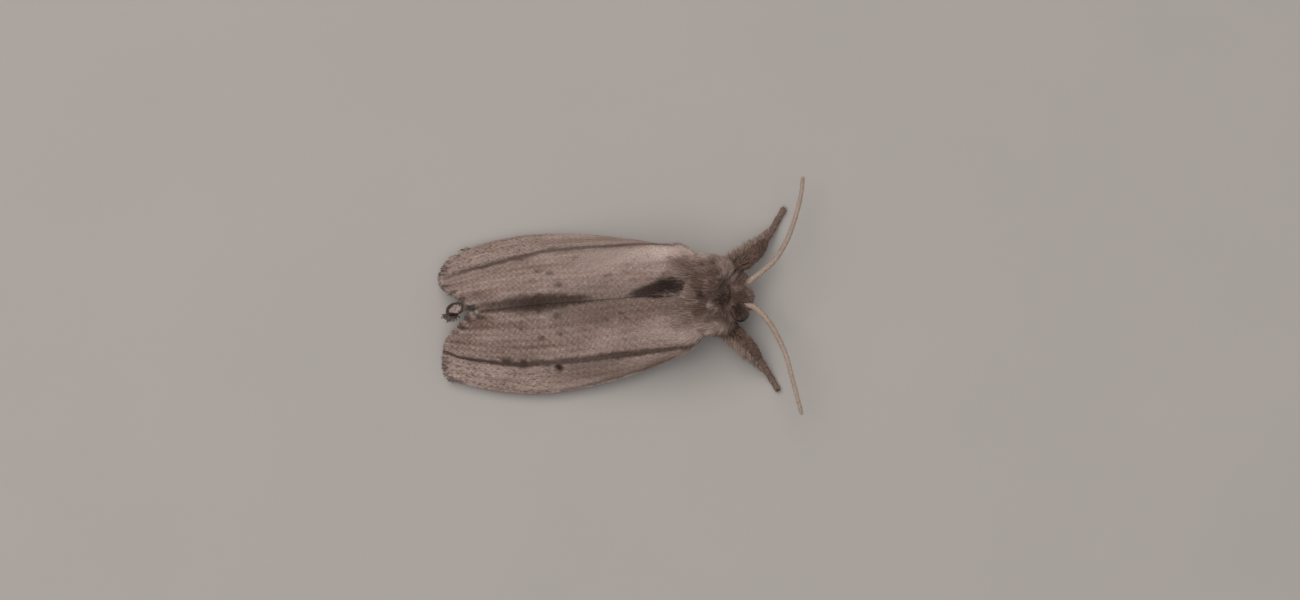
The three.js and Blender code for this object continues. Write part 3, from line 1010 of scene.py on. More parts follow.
@dataclass
class Wing:
    """What both pairs of wings share: a thin membrane with a coat of scales over it and a fringe.

    The defaults are a forewing's.
    """

    side: Side
    kind: str = "forewing"
    finish: CoatFinish = WING_FINISH
    height: float = 0.12  # of the membrane above the roof's middle surface
    thickness: float = 0.07
    steps: tuple[int, int] = (200, 70)  # the membrane's faces along and across
    membrane_level: float | None = 0.4  # the membrane's random number; None for one at each corner
    membrane_seed: int = 3
    ribs: float = 9.5  # veins over the whole breadth
    rib_height: float = 0.009
    spacing: float = 0.063  # between neighbouring scales
    scale_size: tuple[float, float] = (0.21, 0.1)  # length and width
    scale_depth: float = 0.011
    inner: float = 0.0  # the least share
    outer: float = 1.0  # the greatest share
    start: float = -1.0  # the least distance behind the pivot
    reach: float = 1.0  # its outer margin, as a share of the forewing's
    fringe_length: float = 0.62
    fringe_width: tuple[float, float] = (0.05, 0.085)  # of one scale, least and greatest
    fringe_depth: float = 0.016
    fringe_count: int = 1150  # scales over the whole breadth
    teeth: int = 17  # of the fringe, over the whole breadth
    sink: float = 0.85  # how far the base dips under the thorax's hair
    root: float = 0.6  # how far the base runs on under it
    ahead: float = 0.15  # how far beyond its root a scale reads the markings
    tip_back: float = 0.12  # how far short of its tip a fringe scale reads them
    length: float = 19.0

    @property
    def node(self) -> str:
        """The solid that the wing stands for."""
        return f"{self.kind}_{self.side.word}"

    @property
    def shape(self) -> WingShape:
        """The wing's middle surface."""
        return SHAPES[self.side]

    def piece(self, word: str) -> Piece:
        """One of the wing's pieces."""
        return Piece(f"{self.node}_{word}", self.finish, self.finish.name, (self.node,))

    def marks(self, distance: Array, share: Array, seed: int, over: bool = True) -> Array:
        """The markings at places on one side of the wing, with random numbers from a seed."""
        raise NotImplementedError

    def relief(self, distance: Array, share: Array) -> Array:
        """The faint ribs over the veins, which grow outwards, and the dip under the thorax's hair.

        Args:
            distance: millimetres behind the pivot.
            share: share of the breadth.

        Returns:
            Millimetres above the flat roof.
        """
        ribs = np.cos(2 * np.pi * (share * self.ribs + 0.15))
        veins = self.rib_height * ribs * step(distance, 5, 16) * step(share, 0.03, 0.12)
        return veins - self.sink * step(distance - self.shape.base(share), 1.4, -self.root)

    def surface(self, distance: Array, share: Array, height: float) -> tuple[Array, Array, Array]:
        """Points on the wing with its relief, with the way up and the way back there.

        Args:
            distance: millimetres behind the pivot.
            share: share of the breadth.
            height: millimetres above the roof's middle surface.

        Returns:
            Points, upward normals and backward directions.
        """
        point, up, back = self.shape.at(distance, share, height + self.relief(distance, share))
        slope = (self.relief(distance + 0.05, share) - self.relief(distance - 0.05, share))[:, None] / 0.1
        return point, unit(up - back * slope), unit(back + up * slope)

    def unwrap(self, distance: Array, share: Array) -> Array:
        """Places' coordinates on the unwrap."""
        return np.clip(rows((distance + 0.5) / (self.length + 1), share), 0.002, 0.998)

    def limits(self, share: Array) -> tuple[Array, Array]:
        """Where the membrane begins and ends, in millimetres behind the pivot."""
        low = np.maximum(self.shape.base(share) - self.root, self.start)
        return low, self.shape.outer(share) * self.reach - self.fringe_length

    def scattered(self, spacing: float, inner: float, outer: float, seed: int) -> tuple[Array, Array]:
        """Even, slightly shuffled places in rows across the membrane.

        Args:
            spacing: millimetres between neighbours.
            inner: the least share.
            outer: the greatest share.
            seed: which shuffle.

        Returns:
            Distances and shares.
        """
        rng = np.random.default_rng(seed)
        distances, shares = [], []
        lines = np.arange(0.1, self.length, spacing)
        for line, breadth in zip(lines, self.shape.breadth(lines)):
            count = max(int(breadth * (outer - inner) / spacing), 2)
            shuffle = rng.uniform(0, 1) + rng.uniform(-0.3, 0.3, count)
            shares.append(inner + (np.arange(count) + shuffle) / count * (outer - inner))
            distances.append(line + rng.uniform(-0.35, 0.35, count) * spacing)
        distance, share = np.concatenate(distances), np.clip(np.concatenate(shares), inner, outer)
        low, high = self.limits(share)
        keep = (distance > low) & (distance < high)
        return distance[keep], share[keep]

    def membrane(self) -> None:
        """The membrane: a grid laid over the roof and given a thickness."""
        deselect()
        bpy.ops.mesh.primitive_grid_add(x_subdivisions=self.steps[0], y_subdivisions=self.steps[1], size=1)
        sheet = bpy.context.object
        x, y, _ = corners_of(sheet).T
        share = self.inner + (self.outer - self.inner) * (y + 0.5)
        low, high = self.limits(share)
        distance = low + (high - low) * (x + 0.5)
        move_corners(sheet, self.surface(distance, share, self.height)[0])
        apply_modifier(sheet, "SOLIDIFY", thickness=self.thickness, offset=0)
        bpy.ops.object.mode_set(mode="EDIT")
        bpy.ops.mesh.select_all(action="SELECT")
        bpy.ops.mesh.normals_make_consistent(inside=False)
        bpy.ops.object.mode_set(mode="OBJECT")
        marks = self.marks(distance, share, self.membrane_seed)
        if self.membrane_level is not None:
            marks[:, 3] = self.membrane_level
        layers = len(sheet.data.vertices) // len(distance)
        self.piece("membrane").carry(sheet, np.tile(marks, (layers, 1)))

    def scales(self, spacing: float, span: tuple[float, float], size: tuple[float, float],
               seeds: tuple[int, int], over: bool = True) -> Tufts:
        """Scales that lie over one side of the wing like tiles.

        Args:
            spacing: millimetres between neighbours.
            span: the least and the greatest share.
            size: their usual length and width.
            seeds: which random numbers their places and their forms get.
            over: whether they are on the upper side.

        Returns:
            The scales.
        """
        distance, share = self.scattered(spacing, *span, seeds[0])
        marks = self.marks(distance + self.ahead, share, seeds[0], over)
        rng = np.random.default_rng(seeds[1])
        count, sign = len(distance), 1 if over else -1
        point, up, back = self.surface(distance, share, self.height + sign * self.thickness / 2)
        up = sign * up
        turn = rng.normal(0, 0.09, count)[:, None] + 0.05 * ripple(point, 1.2, seeds[1])[:, None]
        lift = 0.06 * rng.uniform(0.5, 1.6, count)[:, None]
        along = unit(back + np.cross(up, back) * turn + up * lift)
        length = size[0] * rng.uniform(0.85, 1.2, count)
        width = size[1] * rng.uniform(0.85, 1.2, count)
        curl = rng.uniform(-0.06, 0.03, count)
        place = self.unwrap(distance, share)
        return Tufts(point, along, up, length, width, self.scale_depth, curl, marks, place)

    def fringe(self, span: tuple[float, float], seeds: tuple[int, int]) -> Tufts:
        """Long narrow scales along the outer edge.

        Args:
            span: the least and the greatest share.
            seeds: which random numbers their forms and their markings get.

        Returns:
            The scales.
        """
        rng = np.random.default_rng(seeds[0])
        count = int((span[1] - span[0]) * self.fringe_count)
        share = rng.uniform(*span, count)
        tooth = share * 2 * np.pi * self.teeth
        short = rng.choice((0.7, 0.86, 1.0), count) * rng.uniform(0.92, 1.05, count)
        size = self.fringe_length * short * (0.74 + 0.33 * np.sin(tooth))
        inset = self.fringe_length * 1.06
        distance = self.shape.outer(share) * self.reach - inset
        point, up, back = self.surface(distance, share, self.height)
        nearby = np.clip(share + 0.02, 0, 1)
        beside = self.shape.at(self.shape.outer(nearby) * self.reach - inset, nearby, self.height)[0]
        edge = unit(beside - point + 1e-9)
        outward = unit(np.cross(edge, up))
        outward *= np.sign(np.sum(outward * back, axis=1, keepdims=True))
        clump = -0.42 * np.cos(tooth) + rng.normal(0, 0.07, count)
        rise = rng.normal(0.02, 0.05, count)
        along = unit(outward * 0.55 + back * 0.75 + edge * clump[:, None] + up * rise[:, None])
        width, curl = rng.uniform(*self.fringe_width, count), rng.uniform(-0.08, 0.05, count)
        marks = self.marks(distance + size - self.tip_back, share, seeds[1])
        place = self.unwrap(distance, share)
        return Tufts(point, along, up, size, width, self.fringe_depth, curl, marks, place)


@dataclass
class Forewing(Wing):
    """A forewing: a dense coat of tile-like scales above, a thin one below, and hair at its base."""

    coat_seed: int = 100
    under_spacing: float = 0.17  # between scales on the underside
    under_span: tuple[float, float] = (0.04, 0.97)  # the underside's least and greatest share with scales
    under_size: tuple[float, float] = (0.46, 0.25)
    under_seeds: tuple[int, int] = (171, 172)
    plain_seed: int = 5  # for the underside's markings
    hairs: int = 1500  # at the base
    hair_length: float = 1.05
    hair_width: tuple[float, float] = (0.05, 0.085)
    hair_depth: float = 0.03
    hair_seed: int = 180

    @cached_property
    def pattern(self) -> WingMarks:
        """The wing's markings."""
        return WingMarks(self.side)

    def marks(self, distance: Array, share: Array, seed: int, over: bool = True) -> Array:
        """The markings at places on one side of the wing.

        Args:
            distance: millimetres behind the pivot.
            share: share of the breadth.
            seed: which random numbers.
            over: whether they are on the upper side; the lower one is plain.

        Returns:
            Rows of dark, pale, brown and random.
        """
        if over:
            return self.pattern.read(distance, share, seed)
        return rows(0.0, 0.35, 0.3, chances(self.plain_seed, len(distance)))

    def base_hair(self) -> Tufts:
        """Long hair-like scales where the wing leaves the thorax.

        Returns:
            The tufts.
        """
        rng = np.random.default_rng(self.hair_seed)
        count = self.hairs
        share = rng.uniform(0.01, 0.93, count)
        behind = rng.uniform(0, 1, count) ** 1.4 * 2.1 - 0.35
        distance = self.shape.base(share) + behind
        point, up, back = self.surface(distance, share, self.height)
        turn = rng.normal(0, 0.16, count)[:, None]
        lift = ((0.32 - 0.12 * behind) * rng.uniform(0.5, 1.3, count))[:, None]
        along = unit(back + np.cross(up, back) * turn + up * lift)
        length = (self.hair_length - 0.3 * behind) * rng.uniform(0.7, 1.15, count)
        marks = self.marks(distance + length * 0.6, share, self.hair_seed + 1)
        marks[:, 1] = np.clip(marks[:, 1] + 0.1, 0, 1)
        width, curl = rng.uniform(*self.hair_width, count), rng.uniform(-0.2, -0.06, count)
        place = self.unwrap(distance, share)
        return Tufts(point, along, up, length, width, self.hair_depth, curl, marks, place)

    def build(self) -> None:
        """Makes the wing's pieces."""
        self.membrane()
        fold = self.shape.fold_share
        parts = (("disc", (0.0, fold)), ("strip", (fold, 1.0)))
        for seed, (part, span) in enumerate(parts, self.coat_seed):
            coat = self.scales(self.spacing, span, self.scale_size, (seed, seed))
            fringe = self.fringe(span, (seed + 7, seed + 1))
            Tufts.together([coat, fringe]).grow(self.piece(part + "_scales"), SCALE)
        form = (self.under_spacing, self.under_span, self.under_size, self.under_seeds)
        self.scales(*form, over=False).grow(self.piece("underside_scales"), SCALE)
        self.base_hair().grow(self.piece("base_hair"), HAIR)


@dataclass
class Hindwing(Wing):
    """A hindwing, folded under the forewing: pale, with scales on both sides and a fringe."""

    kind: str = "hindwing"
    finish: CoatFinish = HINDWING_FINISH
    height: float = -0.78
    steps: tuple[int, int] = (90, 36)
    membrane_level: float | None = None
    spacing: float = 0.17
    scale_size: tuple[float, float] = (0.42, 0.24)
    inner: float = 0.14
    outer: float = 0.78
    start: float = 1.6
    reach: float = 0.93
    ahead: float = 0.0
    tip_back: float = 20.0  # the fringe is as pale as the base
    coat_seeds: tuple[int, int] = (210, 211)  # above and below
    fringe_seeds: tuple[int, int] = (215, 216)

    def marks(self, distance: Array, share: Array, seed: int, over: bool = True) -> Array:
        """A plain wing, a little darker towards its outer edge; see Forewing.marks."""
        band = step(distance, 11, 15.5)
        return rows(0.0, 0.5 * (1 - band), 0.55 * band, chances(seed, len(distance)))

    def build(self) -> None:
        """Makes the wing's pieces."""
        self.membrane()
        span = (self.inner, self.outer)
        form, sides = (self.spacing, span, self.scale_size), zip(self.coat_seeds, (True, False))
        groups = [self.scales(*form, (seed, seed), over) for seed, over in sides]
        Tufts.together([*groups, self.fringe(span, self.fringe_seeds)]).grow(self.piece("scales"), SCALE)


@dataclass
class CurledFringe:
    """Where the seam ends: the left wing's inner corner, drawn out into a dark stem and a small ring."""

    centre: Point = (-17.52, -0.77, 2.42)
    radii: tuple[float, float] = (0.66, 0.46)
    stem: tuple[Point, ...] = ((-16.05, -0.72, 3.3), (-16.5, -0.78, 3.1), (-16.98, -0.76, 2.8))
    slope: float = 0.34
    stem_spread: Point = (0.02, 0.085, 0.03)
    tuft_place: Point = (-0.3, -0.46, -0.12)  # from the centre
    tuft_spread: Point = (0.22, 0.14, 0.03)
    counts: tuple[int, int, int] = (760, 420, 320)  # scales of the ring, the stem and the tuft below
    scale_length: tuple[float, float] = (0.16, 0.26)
    scale_width: tuple[float, float] = (0.06, 0.1)
    scale_depth: float = 0.018
    seed: int = 61

    def scales(self, point: Array, along: Array, dark: Array, place: Array,
               rng: np.random.Generator) -> Tufts:
        """Narrow scales of the curl.

        Args:
            point: their roots.
            along: which way they point.
            dark: how dark they are.
            place: their places on the unwrap.
            rng: random numbers.

        Returns:
            The scales.
        """
        count = len(point)
        up = unit(np.array((-self.slope, 0.0, 1.0)) + 0.15 * rng.normal(size=(count, 3)))
        along = unit(along - up * np.sum(along * up, axis=1, keepdims=True))
        marks = rows(np.clip(dark, 0, 1), 0.6, 0.0, rng.uniform(size=count))
        length, width = rng.uniform(*self.scale_length, count), rng.uniform(*self.scale_width, count)
        curl = rng.uniform(-0.1, 0.1, count)
        return Tufts(point, along, up, length, width, self.scale_depth, curl, marks, place)

    def ring(self, count: int, rng: np.random.Generator) -> Tufts:
        """The ring: a shallow bowl of scales with a dark rim and a pale middle.

        Args:
            count: how many scales.
            rng: random numbers.

        Returns:
            The scales.
        """
        angle = rng.uniform(0, 2 * np.pi, count)
        radius = 0.1 + 0.9 * rng.uniform(0, 1, count) ** 0.6
        outward = rows(np.cos(angle) * self.radii[0], np.sin(angle) * self.radii[1], 0.0)
        offset = outward * radius[:, None]
        offset[:, 2] = self.slope * offset[:, 0] + 0.03 * rng.normal(size=count) + 0.1 * radius**2
        outward = unit(outward)
        along = np.cross((0.0, 0.0, 1.0), outward) + 0.12 * rng.normal(size=(count, 3)) - outward * 0.2
        dark = 0.84 * step(radius + 0.2 * np.clip(np.sin(angle), 0, 1) + 0.04, 0.7, 0.8)
        dark += step(np.hypot(offset[:, 0] + 0.25, offset[:, 1] + 0.4), 0.3, 0.1)
        place = 0.5 + offset[:, :2] / self.radii * (0.25, 0.45)
        return self.scales(offset + self.centre, along, dark, place, rng)

    def build(self) -> None:
        """Makes the ring, its stem and the torn tuft below it."""
        rng = np.random.default_rng(self.seed)
        ring_count, many, few = self.counts
        ring = self.ring(ring_count, rng)
        share = rng.uniform(0, 1, many)
        line = smooth_through(self.stem, share)
        spread = rng.normal(size=(many, 3)) * self.stem_spread * (0.3 + 0.7 * share[:, None])
        way = np.array((1.0, 0.0, self.slope)) + 0.1 * rng.normal(size=(many, 3))
        dark = 0.6 + 0.3 * np.sin(np.pi * share)
        stem = self.scales(line + spread, way, dark, rows(0.76 + 0.2 * share, spread[:, 1] + 0.5), rng)
        spread = rng.normal(size=(few, 3)) * self.tuft_spread
        under = np.array(self.centre) + self.tuft_place + spread
        way = np.array((-1.0, -0.3, 0.0)) + 0.4 * rng.normal(size=(few, 3))
        tuft = self.scales(under, way, rng.uniform(0.6, 1.0, few), 0.5 + spread[:, :2] * 0.3, rng)
        piece = Piece("forewing_left_curled_fringe", WING_FINISH, "wing_scales", ("forewing_left",))
        Tufts.together([ring, stem, tuft]).grow(piece, SCALE)


# ---------- body ----------


@dataclass(frozen=True)
class Lump:
    """An ellipsoid of flesh: its centre and radii in millimetres, and its turn about Z in degrees."""

    centre: Point
    radii: Point
    turn: float = 0.0

    def add(self, sign: int = 1) -> Mesh:
        """Adds the lump.

        Args:
            sign: 1, or -1 for its mirror image on the moth's right.

        Returns:
            The mesh object, in millimetres.
        """
        deselect()
        x, y, z = self.centre
        turn = (0, 0, math.radians(sign * self.turn))
        bpy.ops.mesh.primitive_uv_sphere_add(
            segments=36, ring_count=24, radius=1, location=(x, sign * y, z), rotation=turn
        )
        lump = bpy.context.object
        lump.scale = self.radii
        bpy.ops.object.transform_apply(location=True, rotation=True, scale=True)
        return lump


@dataclass(frozen=True)
class Guide:
    """How the coat lies near a place: which way, how long, how far it stands up and how wide it is."""

    at: Point
    along: Point
    length: float
    lift: float
    width: float


@dataclass(frozen=True)
class Blot:
    """A soft patch of a marking on the body."""

    tone: Tone
    centre: Point
    radii: Point
    level: float

    def strength(self, points: Array) -> Array:
        """How strongly it shows at points, 0 to 1."""
        return self.level * step(np.linalg.norm((points - self.centre) / self.radii, axis=1), 1.3, 0.5)


SINGLE_LUMPS = (
    Lump((-0.45, 0, 3.05), (1.95, 2.35, 1.95)),
    Lump((1.15, 0, 3.1), (0.9, 1.3, 1.3)),
    Lump((2.2, 0, 3.0), (0.95, 1.1, 1.12)),
    Lump((2.78, 0, 2.85), (0.52, 0.7, 0.85)),
    Lump((-1.8, 0, 3.95), (0.7, 0.95, 0.65)),
    Lump((-2.5, 0, 2.5), (1.4, 1.45, 1.35)),
    Lump((-0.4, 0, 1.55), (1.9, 1.25, 0.75)),
)
PAIRED_LUMPS = (
    Lump((-0.15, 2.1, 3.9), (1.55, 0.66, 0.72), 3),
    Lump((0.95, 1.62, 3.25), (0.9, 1.02, 1.15), -12),
    Lump((0.8, 0.95, 4.3), (0.45, 0.85, 0.6), -16),
    Lump((2.2, 0.72, 3.62), (0.62, 0.5, 0.4)),
    Lump((1.35, 0.85, 1.8), (0.8, 0.62, 0.85)),
    Lump((-0.45, 1.05, 1.4), (0.85, 0.62, 0.65)),
    Lump((-1.9, 0.95, 1.45), (0.85, 0.6, 0.65)),
)
GUIDES = (
    Guide((3.25, 0.0, 2.2), (0.35, 0.0, -1.0), 0.36, 0.3, 0.038),
    Guide((3.3, 0.4, 2.9), (0.9, 0.25, -0.45), 0.4, 0.5, 0.038),
    Guide((3.1, 0.0, 3.6), (1.0, 0.0, -0.15), 0.5, 0.4, 0.038),
    Guide((2.7, 0.0, 4.05), (1.0, 0.0, 0.25), 0.55, 0.45, 0.042),
    Guide((1.85, 0.0, 4.2), (0.3, 0.0, 1.0), 0.55, 0.9, 0.046),
    Guide((2.5, 0.85, 3.95), (0.55, 1.0, 0.0), 0.85, 0.24, 0.042),
    Guide((1.9, 1.1, 3.9), (0.15, 1.0, 0.0), 0.95, 0.26, 0.042),
    Guide((1.7, 1.4, 2.6), (-0.3, 0.8, -0.4), 0.45, 0.4, 0.042),
    Guide((2.4, 0.6, 1.9), (0.6, 0.0, -0.3), 0.32, 0.25, 0.038),
    Guide((1.7, 0.8, 1.4), (0.3, 0.3, -1.0), 0.5, 0.4, 0.049),
    Guide((1.2, 0.0, 4.6), (-0.9, 0.0, 0.2), 0.7, 0.38, 0.049),
    Guide((1.1, 1.2, 4.6), (-0.8, 0.35, 0.1), 0.7, 0.3, 0.049),
    Guide((-0.6, 0.0, 5.0), (-1.0, 0.0, 0.0), 0.8, 0.24, 0.053),
    Guide((-1.9, 0.0, 4.7), (-1.0, 0.0, 0.15), 1.0, 0.26, 0.057),
    Guide((-1.4, 1.2, 4.7), (-1.0, 0.05, 0.15), 1.0, 0.26, 0.057),
    Guide((1.2, 2.2, 3.8), (-0.6, 0.6, 0.0), 0.65, 0.3, 0.053),
    Guide((0.0, 2.4, 4.3), (-1.0, 0.2, 0.0), 0.85, 0.24, 0.061),
    Guide((-1.3, 2.3, 4.2), (-1.0, 0.12, 0.1), 1.1, 0.26, 0.061),
    Guide((-0.5, 2.6, 2.8), (-0.7, 0.25, -0.5), 0.65, 0.3, 0.057),
    Guide((-0.5, 0.9, 0.9), (-1.0, 0.0, -0.1), 0.6, 0.2, 0.061),
    Guide((1.5, 1.8, 2.6), (0.3, 0.6, -0.5), 0.6, 0.4, 0.053),
    Guide((-4.5, 0.0, 3.2), (-1.0, 0.0, 0.0), 0.55, 0.2, 0.09),
    Guide((-7.0, 1.2, 2.0), (-1.0, 0.1, 0.0), 0.42, 0.12, 0.1),
    Guide((-11.0, 0.8, 1.8), (-1.0, 0.0, 0.0), 0.4, 0.12, 0.1),
    Guide((-14.4, -0.7, 1.6), (-1.0, 0.0, 0.0), 1.0, 0.12, 0.08),
)
BLOTS = (
    Blot(Tone.DARK, (1.75, 0.0, 4.0), (0.75, 0.7, 1.2), 0.25),
    Blot(Tone.DARK, (1.9, 1.2, 3.8), (0.5, 0.5, 1.0), 0.1),
    Blot(Tone.DARK, (2.3, -0.9, 3.8), (0.45, 0.42, 1.0), 0.9),
    Blot(Tone.PALE, (3.1, 0.2, 3.5), (0.6, 0.9, 1.0), 0.5),
    Blot(Tone.DARK, (1.0, -0.3, 5.0), (1.3, 0.55, 1.2), 0.5),
    Blot(Tone.DARK, (-0.25, -0.15, 5.2), (0.35, 0.28, 0.8), 0.8),
    Blot(Tone.PALE, (1.3, 1.7, 4.0), (0.6, 0.8, 1.0), 0.45),
    Blot(Tone.DARK, (1.8, -1.9, 3.8), (0.45, 0.5, 0.9), 0.35),
    Blot(Tone.PALE, (0.1, 2.5, 4.3), (0.8, 0.6, 0.8), 0.45),
    Blot(Tone.DARK, (-2.1, 0.8, 5.0), (0.5, 0.4, 0.9), 0.9),
    Blot(Tone.PALE, (-1.6, -0.3, 5.0), (0.8, 1.7, 1.0), 0.4),
    Blot(Tone.PALE, (0.25, -0.8, 4.9), (0.45, 0.3, 0.7), 0.8),
    Blot(Tone.PALE, (-1.3, 2.4, 4.4), (1.2, 0.7, 0.9), 0.3),
    Blot(Tone.PALE, (1.2, 2.3, 3.9), (0.7, 0.6, 0.9), 0.4),
    Blot(Tone.PALE, (-1.2, -2.4, 4.3), (1.3, 0.6, 0.9), 0.7),
    Blot(Tone.PALE, (0.6, -2.3, 4.1), (0.9, 0.6, 0.9), 0.5),
    Blot(Tone.PALE, (-0.3, 0.0, 0.8), (3.2, 2.4, 1.6), 0.55),
    Blot(Tone.BROWN, (-0.9, -1.0, 5.0), (1.3, 1.0, 1.0), 0.5),
    Blot(Tone.BROWN, (3.0, 0.0, 3.2), (0.8, 1.2, 1.2), 0.2),
)
COATS = {"head": THORAX_FINISH, "thorax": THORAX_FINISH, "abdomen": ABDOMEN_FINISH}


@dataclass
class Eye:
    """A compound eye: a slightly flattened ball set in the side of the head."""

    side: Side
    radius: float = 0.62
    scale: Point = (0.98, 0.94, 1.0)
    place: Point = (2.5, 1.18, 3.0)

    @property
    def centre(self) -> Array:
        """Its middle, in millimetres."""
        return np.array(self.place) * (1, self.side.value, 1)

    def build(self) -> None:
        """Makes the eye."""
        deselect()
        bpy.ops.mesh.primitive_ico_sphere_add(subdivisions=5, radius=self.radius, location=self.centre)
        bpy.context.object.scale = self.scale
        node = f"eye_{self.side.word}"
        Piece(node + "_lens", EYE_FINISH, "eye", (node,)).carry(bpy.context.object)


@dataclass
class Body:
    """Head, thorax and abdomen: one skin without seams, and the coat that grows on it."""

    eyes: tuple[Eye, ...]
    voxel: float = 0.085
    smoothing: int = 7
    abdomen_front: float = -2.4  # x where the abdomen's drop begins, inside the thorax
    abdomen_length: float = 11.9
    abdomen_height: float = 1.95  # of its middle
    abdomen_radii: tuple[float, float] = (1.5, 1.27)  # half its width and half its height
    taper: float = 0.4  # how much thinner it ends
    segments: int = 8
    groove: float = 0.075  # how deep the ring at a segment is, as a share of the girth
    density: Point = (300.0, 158.0, 62.0)  # tufts per square millimetre of head, thorax and abdomen
    sink: float = 0.04  # how deep a tuft's root is in the skin
    clump: int = 9  # tufts to a clump
    chunk: int = 2000  # tufts whose clumps are found at a time
    neck: float = 1.55  # x where the head begins
    waist: float = -3.4  # x where the abdomen begins
    skin_level: float = 0.2  # the skin's random number
    skin_seed: int = 9
    root_seed: int = 77
    coat_seed: int = 300

    def marks(self, points: Array, seed: int) -> Array:
        """The markings at places on the body.

        Args:
            points: rows of x, y, z in millimetres.
            seed: which random numbers single tufts get.

        Returns:
            Rows of dark, pale, brown and random.
        """
        marks = np.zeros((len(points), 4))
        wobble = points + 0.12 * rows(*(ripple(points, 0.5, k) for k in (21, 22, 23)))
        for blot in BLOTS:
            column = blot.tone.value
            marks[:, column] = np.maximum(marks[:, column], blot.strength(wobble))
        flecks = ripple(points, 0.4, 24)
        marks[:, 1] += 0.3 * np.clip(flecks, 0, 1)
        marks[:, 2] += 0.35 * np.clip(-flecks, 0, 1)
        marks[:, :3] = np.clip(marks[:, :3], 0, 1)
        marks[:, 3] = chances(seed, len(points))
        return marks

    def abdomen(self) -> Mesh:
        """The abdomen: a long drop with a ring at each segment.

        Returns:
            The mesh object, in millimetres.
        """
        deselect()
        turn = (0, math.pi / 2, 0)
        bpy.ops.mesh.primitive_uv_sphere_add(segments=40, ring_count=120, radius=1, rotation=turn)
        drop = bpy.context.object
        bpy.ops.object.transform_apply(location=True, rotation=True, scale=True)
        x, y, z = corners_of(drop).T
        share = (1 - np.clip(x, -1, 1)) / 2
        across = np.maximum(np.hypot(y, z), 1e-9)
        taper = 1 - self.taper * share**2
        girth = (1 - np.abs(2 * share - 1) ** 3) ** (1 / 3) * taper
        ring = np.mod(share * self.segments, 1)
        girth *= 1 - self.groove * np.exp(-(((ring - 0.02) / 0.12) ** 2))
        wide, high = self.abdomen_radii
        behind = self.abdomen_front - self.abdomen_length * share
        above = self.abdomen_height * taper + z / across * high * girth
        move_corners(drop, SHAPES[Side.LEFT].trailed(rows(behind, y / across * wide * girth, above)))
        return drop

    def skin(self) -> Mesh:
        """Joins the lumps, melts them into one surface and smooths it.

        Returns:
            The skin, in millimetres.
        """
        lumps = [lump.add() for lump in SINGLE_LUMPS]
        lumps += [lump.add(sign) for lump in PAIRED_LUMPS for sign in (1, -1)]
        skin = joined([*lumps, self.abdomen()])
        apply_modifier(skin, "REMESH", mode="VOXEL", voxel_size=self.voxel)
        apply_modifier(skin, "SMOOTH", factor=0.5, iterations=self.smoothing)
        return skin

    def unwrap(self, points: Array) -> Array:
        """Places' coordinates on an unwrap round the body's long axis.

        Args:
            points: rows of x, y, z in millimetres.

        Returns:
            Rows of u and v from 0 to 1.
        """
        x, y, z = points.T
        middle = np.interp(x, (-14, -3, 0, 3), (1.4, 2.2, 3.1, 3.0))
        across = y - 0.06 * np.minimum(x + 2, 0)
        angle = np.arctan2(across, z - middle) / (2 * np.pi)
        return rows(np.clip((x + 15) / 19, 0.002, 0.998), angle * 0.995 + 0.5)

    def roots(self, skin: Mesh) -> tuple[Array, Array, Array]:
        """Strews roots over the skin, except on the eyes.

        Args:
            skin: the skin, in millimetres.

        Returns:
            Roots, normals and which part each is on: 0 head, 1 thorax, 2 abdomen.
        """
        mesh = skin.data
        mesh.calc_loop_triangles()
        count = len(mesh.loop_triangles)
        index = np.empty(count * 3, np.int32)
        mesh.loop_triangles.foreach_get("vertices", index)
        points = corners_of(skin)[index.reshape(-1, 3)]
        cross = np.cross(points[:, 1] - points[:, 0], points[:, 2] - points[:, 0])
        x = points.mean(1)[:, 0]
        part = np.where(x > self.neck, 0, np.where(x > self.waist, 1, 2))
        rng = np.random.default_rng(self.root_seed)
        number = rng.poisson(np.linalg.norm(cross, axis=1) / 2 * np.array(self.density)[part])
        chosen = np.repeat(np.arange(count), number)
        a, b = rng.uniform(size=(2, len(chosen), 1))
        over = a + b > 1
        a, b = np.where(over, 1 - a, a), np.where(over, 1 - b, b)
        corner = points[chosen]
        root = corner[:, 0] + a * (corner[:, 1] - corner[:, 0]) + b * (corner[:, 2] - corner[:, 0])
        clear = np.ones(len(root), bool)
        for eye in self.eyes:
            clear &= np.linalg.norm(root - eye.centre, axis=1) > eye.radius * 1.04
        return root[clear], unit(cross[chosen])[clear], part[chosen][clear]

    def lie(self, root: Array, normal: Array) -> tuple[Array, Array, Array]:
        """How the coat lies at places on the skin, between the guides.

        Args:
            root: rows of x, y, z in millimetres.
            normal: outward normals.

        Returns:
            Directions, lengths and widths.
        """
        total = np.zeros((len(root), 6))
        weights = np.zeros((len(root), 1))
        for guide in GUIDES:
            for sign in (1, -1):
                away = root - np.array(guide.at) * (1, sign, 1)
                weight = 1 / (np.sum(away**2, axis=1, keepdims=True) + 0.15) ** 2
                way = np.array(guide.along) * (1, sign, 1)
                total += weight * np.array((*way, guide.length, guide.lift, guide.width))
                weights += weight
        total /= weights
        flat = total[:, :3] - normal * np.sum(total[:, :3] * normal, axis=1, keepdims=True)
        return unit(unit(flat) + normal * total[:, 4:5]), total[:, 3], total[:, 5]

